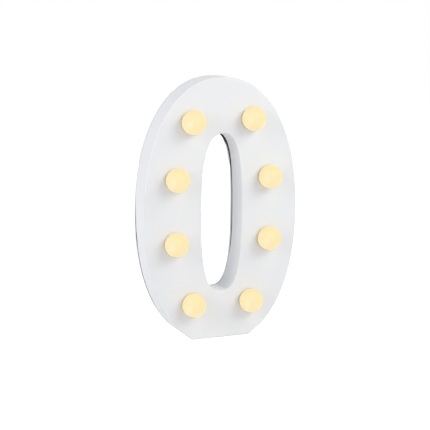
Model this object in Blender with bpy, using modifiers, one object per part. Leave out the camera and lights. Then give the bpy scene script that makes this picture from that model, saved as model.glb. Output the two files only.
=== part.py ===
"""A battery-lit marquee nought that stands on its own foot, modelled piece by piece.

Lengths are in metres, +Z is up, +X is to the right seen from the front, and the front faces -Y.
The origin is the middle of the flat foot. A depth is measured back from the front face.
"""

import math

import bmesh
import bpy
from mathutils import Matrix, Vector

# Fits, shared by every piece
GAP = 0.0003
OVERRUN = 0.002
BURY = 0.0005
MERGE = 0.00001

# Front shell: the outline of the number and the walls behind its face
BODY_HEIGHT = 0.220
BODY_HALF_WIDTH = 0.0683
BODY_EXPONENT = 2.185
BODY_SINK = 0.0064
HOLE_HALF_WIDTH = 0.018
HOLE_HALF_HEIGHT = 0.0667
HOLE_EXPONENT = 2.69
HOLE_RISE = 0.0002
FACE = 0.002
WALL = 0.002
DRAFT = 0.0005
EDGE_RADIUS = 0.0009
FOOT_HALF_WIDTH = 0.0257
FOOT_CHAMFER_HEIGHT = 0.0095
FOOT_INNER_RADIUS = 0.0012
SHADOW_GAP = 0.0012

# Frosted bulb caps, and where they stand as shares of the body's half-width and half-height
BULB_RADIUS = 0.01005
BULB_STAND = 0.0046
CAP_WALL = 0.0012
NECK_RADIUS = 0.0073
BULB_SHARES = (
    (0.380, 0.699),
    (0.613, 0.265),
    (0.611, -0.200),
    (0.374, -0.668),
    (-0.382, -0.667),
    (-0.608, -0.205),
    (-0.595, 0.267),
    (-0.397, 0.681),
)

# Bulb bases, pressed in from behind the face
BASE_FLANGE_RADIUS = 0.0092
BASE_FLANGE = 0.001
BASE_PLUG = 0.0028

# 5 mm lamps and their trimmed legs
LED_RADIUS = 0.0025
LED_RIM_RADIUS = 0.0029
LED_RIM = 0.0008
LED_LENGTH = 0.0085
LEG_PITCH = 0.00254
LEG_SIDE = 0.0005
LEG_LENGTH = 0.002

# Wires
WIRE_RADIUS = 0.0006
WIRE_LIFT = 0.0012
WIRE_LEAD = 0.0045
LAMPS_BELOW_SWITCH = 4

# Two AA cells and the compartment that holds them
CELL_DIAMETER = 0.0145
CELL_LENGTH = 0.0505
CELL_NUB = 0.001
CELL_NUB_RADIUS = 0.00275
CELL_EDGE = 0.0007
CELL_ROOM = 0.0004
BOX_FLOOR = 0.0015
BOX_ROOM = 0.0009
BOX_RIB = 0.003
BOX_RIB_WIDTH = 0.001

# Contacts at the ends of the cells
PLATE_THICKNESS = 0.0004
PLATE_WIDTH = 0.011
PLATE_HEIGHT = 0.0098
DIMPLE = 0.0008
DIMPLE_RADIUS = 0.0024
TAB_WIDTH = 0.003
TAB_REACH = 0.0022
SPRING_LENGTH = 0.0046
SPRING_WIDE_RADIUS = 0.0043
SPRING_TIP_RADIUS = 0.0026
SPRING_WIRE_RADIUS = 0.00035
SPRING_TURNS = 3.5

# Battery door, with lugs below and a bent tongue above
DOOR_THICKNESS = 0.0018
LEDGE = 0.001
DOOR_SEAT = 0.0009
LUG_WIDTH = 0.003
LUG_THICKNESS = 0.0014
LUG_REACH = 0.0022
LUG_SWING = 0.0015
TONGUE_WIDTH = 0.008
TONGUE_THICKNESS = 0.0008
TONGUE_SPACE = 0.0019
TONGUE_DROP = 0.0065
TONGUE_SINK = 0.0002
NOTCH_ROOM = 0.0008
HOOK_BITE = 0.0005
HOOK_HEIGHT = 0.0014
HOUSING_WALL = 0.0015
GRIP_DEPTH = 0.0005
GRIP_WIDTH = 0.001
GRIP_LENGTH = 0.014
GRIP_PITCH = 0.0025
GRIP_DROP = 0.006
GRIP_COUNT = 4

# Back cover
COVER_THICKNESS = 0.002
COVER_EDGE = 0.0004
FINGER_LENGTH = 0.0055
FINGER_SPREAD = 0.0022
FINGER_DEPTH = 0.001
KEYHOLE_DROP = 0.028
KEYHOLE_RADIUS = 0.00425
KEYHOLE_SLOT_RADIUS = 0.0023
KEYHOLE_SLOT_LENGTH = 0.009

# Screws that hold the cover to the shell
SCREW_HEAD_RADIUS = 0.0028
SCREW_HEAD = 0.0018
SCREW_RADIUS = 0.0013
SCREW_LENGTH = 0.009
SCREW_SINK = 0.0045
CROSS_DEPTH = 0.001
CROSS_LENGTH_SHARE = 0.62
CROSS_WIDTH_SHARE = 0.22
CUP_WALL = 0.0011
CUP_FLOOR = 0.0015
BOSS_WALL = 0.0014
CUP_CLEARANCE = 0.0006
SCREW_ANGLES = (math.radians(26), math.radians(-24))

# Slide switch
KNOB_WIDTH = 0.004
KNOB_LENGTH = 0.004
KNOB_TRAVEL = 0.0035
KNOB_SINK = 0.0002
KNOB_GROOVE = 0.0004
KNOB_GROOVE_COUNT = 3
FOOT_WIDTH = 0.0056
FOOT_LENGTH = 0.006
FOOT_THICKNESS = 0.002
SWITCH_WALL = 0.001
SWITCH_FLOOR = 0.0015
FRAME_THICKNESS = 0.0005
CHEEK_DROP = 0.0032
EAR_MARGIN = 0.0035
EAR_LENGTH = 0.0055
TERMINAL_WIDTH = 0.0016
TERMINAL_THICKNESS = 0.0004
TERMINAL_LENGTH = 0.005
THUMB_MARGIN = 0.0025
THUMB_SIDE = 0.0038
THUMB_DEPTH = 0.0009
PIN_HEAD_RADIUS = 0.0019
PIN_HEAD = 0.001
PIN_RADIUS = 0.0009
PIN_LENGTH = 0.0029
PIN_FLOOR = 0.0006

# Counts of points and sides, and what the printed gaps are counted in
MM_IN_A_METRE = 1000
BODY_STEPS = 72
HOLE_STEPS = 52
CORNER_STEPS = 3
EDGE_STEPS = 2
DOME_STEPS = 6
INNER_DOME_STEPS = 3
TIP_STEPS = 3
CAP_SIDES = 18
BASE_SIDES = 12
LED_SIDES = 10
CELL_SIDES = 18
SCREW_SIDES = 12
HOLE_SIDES = 16
SPRING_POINTS = 9
WIRE_POINTS = 3

# Worked out from the values above
BODY_CENTRE = (BODY_HEIGHT - BODY_SINK) / 2
BODY_HALF_HEIGHT = (BODY_HEIGHT + BODY_SINK) / 2
HOLE_CENTRE = BODY_CENTRE + HOLE_RISE
HOLE_TOP = HOLE_CENTRE + HOLE_HALF_HEIGHT
HOLE_BOTTOM = HOLE_CENTRE - HOLE_HALF_HEIGHT
STROKE_X = (BODY_HALF_WIDTH + HOLE_HALF_WIDTH) / 2
LED_BACK = FACE + GAP + BASE_FLANGE + GAP
LEG_END = LED_BACK + LEG_LENGTH
WIRE_DEPTH = LED_BACK + WIRE_LIFT
BOX_FRONT = LEG_END + BOX_ROOM
CELL_DEPTH = BOX_FRONT + BOX_FLOOR + GAP + CELL_DIAMETER / 2
DEPTH = CELL_DEPTH + CELL_DIAMETER / 2 + CELL_ROOM + DOOR_THICKNESS
FRONT_Y = -DEPTH / 2
COVER_DEPTH = DEPTH - COVER_THICKNESS
SHELL_END = COVER_DEPTH - SHADOW_GAP
CELL_PITCH = CELL_DIAMETER + CELL_ROOM
CAVITY_HALF_WIDTH = CELL_PITCH / 2 + CELL_DIAMETER / 2 + CELL_ROOM
CONTACT_SPACE = 2 * (GAP + PLATE_THICKNESS) + DIMPLE + SPRING_LENGTH + 3 * GAP
CAVITY_HALF_LENGTH = (CELL_LENGTH + CONTACT_SPACE) / 2
BOX_WALL = LEDGE + GAP + DOOR_SEAT
DOOR_HALF_WIDTH = CAVITY_HALF_WIDTH + LEDGE
DOOR_HALF_LENGTH = CAVITY_HALF_LENGTH + LEDGE
DOOR_DEPTH = DEPTH - DOOR_THICKNESS
HINGE_DROP = DOOR_HALF_LENGTH + GAP / 2
CUP_HOLE_RADIUS = SCREW_HEAD_RADIUS + GAP
CUP_RADIUS = CUP_HOLE_RADIUS + CUP_WALL
CUP_SEAT = DEPTH - SCREW_SINK
CUP_FRONT = CUP_SEAT - CUP_FLOOR
BOSS_END = CUP_FRONT - GAP
SHANK_HOLE_RADIUS = SCREW_RADIUS + GAP
BOSS_RADIUS = SHANK_HOLE_RADIUS + BOSS_WALL
CUP_INSET = WALL + CUP_CLEARANCE + CUP_RADIUS
FRAME_DEPTH = COVER_DEPTH - GAP - FRAME_THICKNESS
FOOT_BACK = FRAME_DEPTH - GAP
CHANNEL_FLOOR = FOOT_BACK - FOOT_THICKNESS - GAP
CHANNEL_HALF_WIDTH = FOOT_WIDTH / 2 + GAP
CHANNEL_HALF_LENGTH = (FOOT_LENGTH + KNOB_TRAVEL) / 2 + GAP
SWITCH_HALF_WIDTH = CHANNEL_HALF_WIDTH + SWITCH_WALL
SWITCH_HALF_LENGTH = CHANNEL_HALF_LENGTH + SWITCH_WALL
SLOT_HALF_WIDTH = KNOB_WIDTH / 2 + GAP
SLOT_HALF_LENGTH = (KNOB_LENGTH + KNOB_TRAVEL) / 2 + GAP
EAR_OFFSET = SWITCH_HALF_LENGTH + EAR_MARGIN
KNOB_REST_Z = BODY_CENTRE + KNOB_TRAVEL / 2


def clear_scene():
    for obj in list(bpy.data.objects):
        bpy.data.objects.remove(obj)


def new_collection(name):
    made = bpy.data.collections.new(name)
    bpy.context.scene.collection.children.link(made)
    return made


def plain_material(name, colour, roughness, metallic=0.0, glow=0.0):
    made = bpy.data.materials.new(name)
    made.use_nodes = True
    shader = made.node_tree.nodes["Principled BSDF"]
    shader.inputs["Base Color"].default_value = (*colour, 1)
    shader.inputs["Roughness"].default_value = roughness
    shader.inputs["Metallic"].default_value = metallic
    shader.inputs["Emission Color"].default_value = (*colour, 1)
    shader.inputs["Emission Strength"].default_value = glow
    made.diffuse_color = (*colour, 1)
    return made


clear_scene()
PARTS = new_collection("marquee_nought")
TOOLS = new_collection("cutters")
TOOLS.hide_render = True

WHITE = plain_material("white_plastic", (0.83, 0.83, 0.84), 0.42)
FROST = plain_material("frosted_cap", (1.0, 0.84, 0.48), 0.5, glow=0.8)
CLEAR = plain_material("lamp_body", (0.95, 0.86, 0.62), 0.2)
TINNED = plain_material("tinned_steel", (0.66, 0.66, 0.65), 0.35, 1.0)
PHENOLIC = plain_material("brown_phenolic", (0.16, 0.07, 0.035), 0.55)
BLACK = plain_material("black_knob", (0.02, 0.02, 0.022), 0.45)
LABEL = plain_material("cell_label", (0.05, 0.16, 0.32), 0.35, 0.6)
RED = plain_material("red_insulation", (0.55, 0.02, 0.02), 0.45)
DARK = plain_material("black_insulation", (0.02, 0.02, 0.02), 0.45)


def shaded(obj):
    """Smooth shading with crisp edges where faces meet at more than a slight angle."""
    obj.data.shade_smooth()
    obj.data.set_sharp_from_angle(angle=math.radians(35))
    return obj


def add_object(name, mesh, material=None):
    """A visible part with its material or, with none, a hidden tool for a Boolean."""
    obj = bpy.data.objects.new(name, mesh)
    if material is None:
        TOOLS.objects.link(obj)
        obj.hide_render = True
        obj.display_type = "WIRE"
        return obj
    PARTS.objects.link(obj)
    if not mesh.materials:
        mesh.materials.append(material)
    return obj


def mesh_of(bm, name):
    bmesh.ops.recalc_face_normals(bm, faces=bm.faces)
    mesh = bpy.data.meshes.new(name)
    bm.to_mesh(mesh)
    bm.free()
    return mesh


def cut(target, *cutters):
    for cutter in cutters:
        modifier = target.modifiers.new(cutter.name, "BOOLEAN")
        modifier.operation = "DIFFERENCE"
        modifier.object = cutter


def join(target, *pieces):
    for piece in pieces:
        modifier = target.modifiers.new(piece.name, "BOOLEAN")
        modifier.operation = "UNION"
        modifier.object = piece


def set_origin(obj, point):
    """Moves the object's origin to a point without moving its shape."""
    obj.data.transform(Matrix.Translation(-Vector(point)))
    obj.location = point
    return obj


def finished_mesh(obj):
    """The object's evaluated shape as one mesh that copies can share, with the object itself removed."""
    bpy.context.view_layer.update()
    graph = bpy.context.evaluated_depsgraph_get()
    mesh = bpy.data.meshes.new_from_object(obj.evaluated_get(graph), depsgraph=graph)
    bpy.data.objects.remove(obj)
    return mesh


def blocks(name, *ranges, material=None):
    """Boxes in one object, each given by its lowest and highest x, depth and z."""
    bm = bmesh.new()
    for xs, depths, zs in ranges:
        low = Vector((xs[0], FRONT_Y + depths[0], zs[0]))
        high = Vector((xs[1], FRONT_Y + depths[1], zs[1]))
        middle = Matrix.Translation((low + high) / 2)
        bmesh.ops.create_cube(bm, size=1, matrix=middle @ Matrix.Diagonal((high - low).to_4d()))
    return add_object(name, mesh_of(bm, name), material)


def rods(name, places, radius, depths, sides=HOLE_SIDES, material=None):
    """Round bars that run front to back, one at each (x, z), in one object."""
    bm = bmesh.new()
    length = depths[1] - depths[0]
    for x, z in places:
        middle = Vector((x, FRONT_Y + depths[0] + length / 2, z))
        turn = Matrix.Rotation(math.radians(90), 4, "X")
        bmesh.ops.create_cone(
            bm,
            cap_ends=True,
            segments=sides,
            radius1=radius,
            radius2=radius,
            depth=length,
            matrix=Matrix.Translation(middle) @ turn,
        )
    return add_object(name, mesh_of(bm, name), material)


def turned(name, profile, sides, material):
    """A turned shape: a profile of (radius, height) points swept round the local Z axis."""
    mesh = bpy.data.meshes.new(name)
    points = [(radius, 0, height) for radius, height in profile]
    edges = [(i, i + 1) for i in range(len(points) - 1)]
    mesh.from_pydata(points, edges, [])
    obj = add_object(name, mesh, material)
    screw = obj.modifiers.new("turn", "SCREW")
    screw.axis = "Z"
    screw.steps = sides
    screw.render_steps = sides
    screw.use_merge_vertices = True
    screw.merge_threshold = MERGE
    screw.use_smooth_shade = False
    return obj


def loft(name, sections, material=None):
    """A solid through a stack of outlines with as many points each, one at each depth."""
    bm = bmesh.new()
    rings = []
    for depth, outline in sections:
        rings.append([bm.verts.new((p.x, FRONT_Y + depth, p.y)) for p in outline])
    bm.faces.new(rings[0])
    bm.faces.new(rings[-1])
    for ring, following in zip(rings, rings[1:]):
        for i in range(len(ring)):
            bm.faces.new((ring[i - 1], ring[i], following[i], following[i - 1]))
    return add_object(name, mesh_of(bm, name), material)


def tube(name, points, radius, resolution, material):
    """A round tube along points, as a curve with filled ends."""
    curve = bpy.data.curves.new(name, "CURVE")
    curve.dimensions = "3D"
    curve.bevel_depth = radius
    curve.bevel_resolution = resolution
    curve.use_fill_caps = True
    spline = curve.splines.new("POLY")
    spline.points.add(len(points) - 1)
    for spot, point in zip(spline.points, points):
        spot.co = (*point, 1)
    curve.materials.append(material)
    obj = bpy.data.objects.new(name, curve)
    PARTS.objects.link(obj)
    return obj


# Outlines

def oval_point(half_width, half_height, exponent, angle):
    """A point of a superellipse about its own centre."""
    across = math.copysign(abs(math.cos(angle)) ** (2 / exponent), math.cos(angle))
    up = math.copysign(abs(math.sin(angle)) ** (2 / exponent), math.sin(angle))
    return Vector((half_width * across, half_height * up))


def rounded_corner(before, corner, after, radius):
    """Points of an arc that touches both sides of a corner."""
    towards_before = (before - corner).normalized()
    towards_after = (after - corner).normalized()
    half_angle = towards_before.angle(towards_after) / 2
    centre = corner + (towards_before + towards_after).normalized() * radius / math.sin(half_angle)
    first = corner + towards_before * radius / math.tan(half_angle) - centre
    last = corner + towards_after * radius / math.tan(half_angle) - centre
    sweep = first.angle_signed(last)
    arc = []
    for step in range(CORNER_STEPS + 1):
        turn = Matrix.Rotation(-sweep * step / CORNER_STEPS, 2)
        arc.append(centre + turn @ first)
    return arc


def body_outline():
    """The number's outer outline: an oval whose lower end is cut to a flat foot with sloping sides."""
    drop = (FOOT_CHAMFER_HEIGHT - BODY_CENTRE) / BODY_HALF_HEIGHT
    start = -math.asin(abs(drop) ** (BODY_EXPONENT / 2))
    sweep = math.pi - 2 * start
    points = []
    for step in range(BODY_STEPS + 1):
        angle = start + sweep * step / BODY_STEPS
        oval = oval_point(BODY_HALF_WIDTH, BODY_HALF_HEIGHT, BODY_EXPONENT, angle)
        points.append(oval + Vector((0, BODY_CENTRE)))
    left, right = Vector((-FOOT_HALF_WIDTH, 0)), Vector((FOOT_HALF_WIDTH, 0))
    radius = WALL + FOOT_INNER_RADIUS
    points += rounded_corner(points[-1], left, right, radius)
    points += rounded_corner(left, right, points[0], radius)
    return points


def hole_outline():
    """The outline of the hole through the number."""
    centre = Vector((0, HOLE_CENTRE))
    angles = [2 * math.pi * step / HOLE_STEPS for step in range(HOLE_STEPS)]
    return [centre + oval_point(HOLE_HALF_WIDTH, HOLE_HALF_HEIGHT, HOLE_EXPONENT, a) for a in angles]


def grown(outline, distance):
    """The outline with each side moved out by a distance, and nothing of it below the foot."""
    moved = []
    for i, point in enumerate(outline):
        arriving = (point - outline[i - 1]).normalized()
        leaving = (outline[(i + 1) % len(outline)] - point).normalized()
        along = (arriving + leaving).normalized()
        outward = Vector((along.y, -along.x))
        stretch = outward.dot(Vector((leaving.y, -leaving.x)))
        spot = point + outward * distance / stretch
        moved.append(Vector((spot.x, max(spot.y, 0))))
    return moved


def draft_at(depth):
    return DRAFT * depth / DEPTH


def edge_arc():
    """(depth, inset) pairs of the rounding between the face and a wall."""
    pairs = []
    for step in range(EDGE_STEPS + 1):
        angle = math.radians(90) * step / EDGE_STEPS
        pairs.append((EDGE_RADIUS * (1 - math.cos(angle)), EDGE_RADIUS * (1 - math.sin(angle))))
    return pairs


BODY = body_outline()
HOLE = hole_outline()


def bulb_places():
    """Bulb centres in order round the number, from the upper right down and back up the left."""
    return [(x * BODY_HALF_WIDTH, BODY_CENTRE + z * BODY_HALF_HEIGHT) for x, z in BULB_SHARES]


def screw_places():
    """Cover screws: two on each side, set in from the outer wall, and one above and below the hole."""
    places = []
    for angle in SCREW_ANGLES:
        near = oval_point(BODY_HALF_WIDTH, BODY_HALF_HEIGHT, BODY_EXPONENT, angle)
        slope = Vector(
            (
                (abs(near.x) / BODY_HALF_WIDTH) ** (BODY_EXPONENT - 1) / BODY_HALF_WIDTH,
                math.copysign(
                    (abs(near.y) / BODY_HALF_HEIGHT) ** (BODY_EXPONENT - 1) / BODY_HALF_HEIGHT, near.y
                ),
            )
        ).normalized()
        spot = near - slope * CUP_INSET
        places += [(spot.x, BODY_CENTRE + spot.y), (-spot.x, BODY_CENTRE + spot.y)]
    places.append((0, HOLE_TOP + CUP_INSET))
    places.append((0, HOLE_BOTTOM - CUP_INSET))
    return places


BULBS = bulb_places()
SCREWS = screw_places()


# Front shell

def shell_cavity():
    """The space between the walls, open at the back."""
    end = DEPTH + OVERRUN
    inside = [
        (FACE, grown(BODY, draft_at(FACE) - WALL)),
        (end, grown(BODY, draft_at(end) - WALL)),
    ]
    sleeve = [
        (-OVERRUN, grown(HOLE, WALL)),
        (end + OVERRUN, grown(HOLE, WALL - draft_at(end))),
    ]
    cavity = loft("shell_cavity", inside)
    cut(cavity, loft("hole_sleeve", sleeve))
    return cavity


def hole_cutter():
    """The hole's space, flared at the face so that its edge comes out rounded."""
    sections = [(-OVERRUN, grown(HOLE, EDGE_RADIUS))]
    for depth, inset in edge_arc():
        sections.append((depth, grown(HOLE, inset)))
    end = DEPTH + OVERRUN
    sections.append((end, grown(HOLE, -draft_at(end))))
    return loft("hole_cutter", sections)


def make_front_shell(hole):
    sections = [(depth, grown(BODY, -inset)) for depth, inset in edge_arc()]
    sections.append((SHELL_END, grown(BODY, draft_at(SHELL_END))))
    shell = loft("front_shell", sections, WHITE)
    cut(shell, hole, shell_cavity())
    join(shell, rods("shell_bosses", SCREWS, BOSS_RADIUS, (FACE - BURY, BOSS_END), SCREW_SIDES))
    cut(
        shell,
        rods("bulb_holes", BULBS, NECK_RADIUS + GAP, (-OVERRUN, FACE + BURY), CAP_SIDES),
        rods(
            "pilot_holes",
            SCREWS,
            SHANK_HOLE_RADIUS,
            (CUP_SEAT - SCREW_LENGTH - GAP, BOSS_END + OVERRUN),
            SCREW_SIDES,
        ),
    )
    return shaded(shell)


# Bulbs: cap, base and lamp

def dome(radius, centre, lowest, steps):
    """(radius, height) points of a ball from its top down to a height."""
    last = math.acos((lowest - centre) / radius)
    angles = [last * step / steps for step in range(steps + 1)]
    return [(radius * math.sin(a), centre + radius * math.cos(a)) for a in angles]


def cap_profile():
    inner = dome(BULB_RADIUS - CAP_WALL, BULB_STAND, GAP + CAP_WALL, INNER_DOME_STEPS)
    bore = NECK_RADIUS - CAP_WALL
    neck = [(NECK_RADIUS, GAP), (NECK_RADIUS, -FACE), (bore, -FACE), (bore, GAP + CAP_WALL)]
    return dome(BULB_RADIUS, BULB_STAND, GAP, DOME_STEPS) + neck + inner[::-1]


def base_profile():
    plug = NECK_RADIUS - CAP_WALL - GAP
    bore = LED_RADIUS + GAP
    front = -FACE - GAP
    back = front - BASE_FLANGE
    return [
        (bore, front + BASE_PLUG),
        (plug, front + BASE_PLUG),
        (plug, front),
        (BASE_FLANGE_RADIUS, front),
        (BASE_FLANGE_RADIUS, back),
        (LED_RIM_RADIUS + GAP, back),
        (LED_RIM_RADIUS + GAP, back + LED_RIM),
        (bore, back + LED_RIM),
        (bore, front + BASE_PLUG),
    ]


def lamp_profile():
    rim = -LED_BACK + LED_RIM
    centre = LED_LENGTH - LED_BACK - LED_RADIUS
    tip = dome(LED_RADIUS, centre, centre, TIP_STEPS)
    return tip + [(LED_RADIUS, rim), (LED_RIM_RADIUS, rim), (LED_RIM_RADIUS, -LED_BACK), (0, -LED_BACK)]


def make_bulbs():
    """Eight bulbs: a frosted cap from the front, a base from behind and a lamp in its middle."""
    lamp = turned("lamp_shape", lamp_profile(), LED_SIDES, CLEAR)
    legs = []
    for side in (-1, 1):
        x = side * LEG_PITCH / 2
        leg = bmesh.new()
        size = Vector((LEG_SIDE, LEG_SIDE, LEG_LENGTH + BURY))
        middle = Matrix.Translation((x, 0, -LED_BACK + BURY - size.z / 2))
        bmesh.ops.create_cube(leg, size=1, matrix=middle @ Matrix.Diagonal(size.to_4d()))
        legs.append(add_object(f"lamp_leg_{side}", mesh_of(leg, "lamp_leg")))
    join(lamp, *legs)
    meshes = {
        "bulb_cap": finished_mesh(turned("cap_shape", cap_profile(), CAP_SIDES, FROST)),
        "bulb_base": finished_mesh(turned("base_shape", base_profile(), BASE_SIDES, WHITE)),
        "led": finished_mesh(lamp),
    }
    facing = Matrix.Rotation(math.radians(90), 4, "X")
    for i, (x, z) in enumerate(BULBS):
        outward = lamp_normal(i)
        spin = Matrix.Rotation(math.atan2(outward.y, outward.x), 4, "Z")
        for name, mesh in meshes.items():
            piece = add_object(f"{name}_{i + 1}", mesh, WHITE)
            piece.matrix_world = Matrix.Translation((x, FRONT_Y, z)) @ facing @ spin
            shaded(piece)


def lamp_normal(i):
    """The direction square to the wires at a lamp, along which its two legs stand."""
    before, after = Vector(BULBS[i - 1]), Vector(BULBS[(i + 1) % len(BULBS)])
    along = (after - before).normalized()
    return Vector((-along.y, along.x))


# Back cover

def keyhole_outline():
    """A round entry with a narrower slot above it."""
    centre = Vector((0, BODY_HEIGHT - KEYHOLE_DROP))
    opening = math.acos(KEYHOLE_SLOT_RADIUS / KEYHOLE_RADIUS)
    points = []
    sweep = 2 * math.pi - (math.pi - 2 * opening)
    for step in range(HOLE_SIDES + 1):
        angle = math.pi - opening + sweep * step / HOLE_SIDES
        points.append(centre + KEYHOLE_RADIUS * Vector((math.cos(angle), math.sin(angle))))
    top = centre + Vector((0, KEYHOLE_SLOT_LENGTH))
    for step in range(HOLE_SIDES // 2 + 1):
        angle = math.pi * step / (HOLE_SIDES // 2)
        points.append(top + KEYHOLE_SLOT_RADIUS * Vector((math.cos(angle), math.sin(angle))))
    return points


def cover_plate(hole):
    sections = [
        (COVER_DEPTH, grown(BODY, draft_at(COVER_DEPTH))),
        (DEPTH - COVER_EDGE, grown(BODY, draft_at(DEPTH))),
        (DEPTH, grown(BODY, draft_at(DEPTH) - COVER_EDGE)),
    ]
    plate = loft("back_cover", sections, WHITE)
    cut(plate, hole)
    return plate


def around(centre, half):
    return (centre - half, centre + half)


def battery_box_joins():
    """The compartment and the small housing for the door's tongue, as solid blocks."""
    half_width = CAVITY_HALF_WIDTH + BOX_WALL
    half_length = CAVITY_HALF_LENGTH + BOX_WALL
    tongue_half = TONGUE_WIDTH / 2 + GAP + HOUSING_WALL
    floor = DOOR_DEPTH - TONGUE_DROP - TONGUE_THICKNESS - GAP - HOUSING_WALL
    box = blocks(
        "battery_box",
        (around(STROKE_X, half_width), (BOX_FRONT, COVER_DEPTH + BURY), around(BODY_CENTRE, half_length)),
    )
    housing = blocks(
        "tongue_housing",
        (
            around(STROKE_X, tongue_half),
            (floor, COVER_DEPTH + BURY),
            (BODY_CENTRE, BODY_CENTRE + hook_tip() + GAP + HOUSING_WALL),
        ),
    )
    return box, housing


def tongue_front():
    """How far above the middle of the door the tongue's leaf starts."""
    return DOOR_HALF_LENGTH + TONGUE_SPACE


def notch_edge():
    return tongue_front() + TONGUE_THICKNESS + NOTCH_ROOM


def hook_tip():
    return notch_edge() + HOOK_BITE


def battery_box_cuts():
    """The space for the cells, the opening for the door, and the slots for its tongue and lugs."""
    cavity = blocks(
        "cell_space",
        (
            around(STROKE_X, CAVITY_HALF_WIDTH),
            (BOX_FRONT + BOX_FLOOR, DEPTH + OVERRUN),
            around(BODY_CENTRE, CAVITY_HALF_LENGTH),
        ),
    )
    opening = blocks(
        "door_opening",
        (
            around(STROKE_X, DOOR_HALF_WIDTH + GAP),
            (DOOR_DEPTH - GAP, DEPTH + OVERRUN),
            around(BODY_CENTRE, DOOR_HALF_LENGTH + GAP),
        ),
    )
    tongue_half = TONGUE_WIDTH / 2 + GAP
    tongue_space = blocks(
        "tongue_space",
        (
            around(STROKE_X, tongue_half),
            (DOOR_DEPTH - TONGUE_DROP - TONGUE_THICKNESS - GAP, COVER_DEPTH),
            (BODY_CENTRE, BODY_CENTRE + hook_tip() + GAP),
        ),
    )
    notch = blocks(
        "tongue_notch",
        (
            around(STROKE_X, tongue_half),
            (COVER_DEPTH - BURY, DEPTH + OVERRUN),
            (BODY_CENTRE, BODY_CENTRE + notch_edge()),
        ),
    )
    finger = blocks(
        "finger_recess",
        (
            around(STROKE_X, tongue_half + FINGER_SPREAD),
            (DEPTH - FINGER_DEPTH, DEPTH + OVERRUN),
            (BODY_CENTRE + tongue_front(), BODY_CENTRE + notch_edge() + FINGER_LENGTH),
        ),
    )
    lug_bottom = DOOR_HALF_LENGTH + LUG_REACH + GAP
    lug_front = lug_depths()[0] - LUG_SWING
    slots = [
        (
            around(x, LUG_WIDTH / 2 + GAP),
            (lug_front, COVER_DEPTH),
            (BODY_CENTRE - lug_bottom, BODY_CENTRE - CAVITY_HALF_LENGTH + BURY),
        )
        for x in lug_middles()
    ]
    return cavity, opening, tongue_space, notch, finger, blocks("lug_slots", *slots)


def lug_middles():
    offset = CAVITY_HALF_WIDTH - GAP - LUG_WIDTH / 2
    return STROKE_X - offset, STROKE_X + offset


def lug_depths():
    back = COVER_DEPTH - GAP
    return back - LUG_THICKNESS, back


def plate_depths():
    return around(CELL_DEPTH, PLATE_HEIGHT / 2)


def tab_depths():
    """A solder tab is folded from the front edge of its plate."""
    front = plate_depths()[0]
    return front, front + PLATE_THICKNESS


def tab_middles():
    """Solder tabs stand outside the tongue's housing."""
    offset = TONGUE_WIDTH / 2 + GAP + HOUSING_WALL + GAP + TAB_WIDTH / 2 + BURY
    return STROKE_X - offset, STROKE_X + offset


def tab_slots():
    front, back = tab_depths()
    wall = (BODY_CENTRE + CAVITY_HALF_LENGTH - BURY, BODY_CENTRE + CAVITY_HALF_LENGTH + BOX_WALL + BURY)
    ranges = [(around(x, TAB_WIDTH / 2 + GAP), (front - GAP, back + GAP), wall) for x in tab_middles()]
    return blocks("tab_slots", *ranges)


def cell_rib():
    """A low rib on the compartment's floor that keeps the two cells apart."""
    return blocks(
        "cell_rib",
        (
            around(STROKE_X, BOX_RIB_WIDTH / 2),
            (BOX_FRONT + BOX_FLOOR - BURY, BOX_FRONT + BOX_FLOOR + BOX_RIB),
            around(BODY_CENTRE, CELL_LENGTH / 3),
        ),
    )


def switch_cuts():
    """The knob's slot in its thumb recess, and the two stepped holes for the switch's screws."""
    ears = [(-STROKE_X, BODY_CENTRE - EAR_OFFSET), (-STROKE_X, BODY_CENTRE + EAR_OFFSET)]
    through = (COVER_DEPTH - OVERRUN, DEPTH + OVERRUN)
    slot = blocks(
        "knob_slot",
        (around(-STROKE_X, SLOT_HALF_WIDTH), through, around(BODY_CENTRE, SLOT_HALF_LENGTH)),
    )
    thumb = blocks(
        "thumb_recess",
        (
            around(-STROKE_X, SLOT_HALF_WIDTH + THUMB_SIDE),
            (DEPTH - THUMB_DEPTH, DEPTH + OVERRUN),
            around(BODY_CENTRE, SLOT_HALF_LENGTH + THUMB_MARGIN),
        ),
    )
    heads = rods(
        "pin_heads", ears, PIN_HEAD_RADIUS + GAP, (COVER_DEPTH + PIN_FLOOR, DEPTH + OVERRUN), SCREW_SIDES
    )
    holes = rods("pin_holes", ears, PIN_RADIUS + GAP, through, SCREW_SIDES)
    return slot, thumb, heads, holes


def make_back_cover(hole):
    cover = cover_plate(hole)
    join(cover, *battery_box_joins())
    join(cover, rods("cover_cups", SCREWS, CUP_RADIUS, (CUP_FRONT, COVER_DEPTH + BURY)))
    cut(cover, *battery_box_cuts())
    join(cover, cell_rib())
    cut(cover, tab_slots())
    cut(
        cover,
        rods("head_holes", SCREWS, CUP_HOLE_RADIUS, (CUP_SEAT, DEPTH + OVERRUN)),
        rods("shank_holes", SCREWS, SHANK_HOLE_RADIUS, (CUP_FRONT - OVERRUN, DEPTH), SCREW_SIDES),
    )
    cut(cover, *switch_cuts())
    keyhole = keyhole_outline()
    cut(cover, loft("keyhole", [(COVER_DEPTH - OVERRUN, keyhole), (DEPTH + OVERRUN, keyhole)]))
    return shaded(cover)


# Battery door

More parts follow.
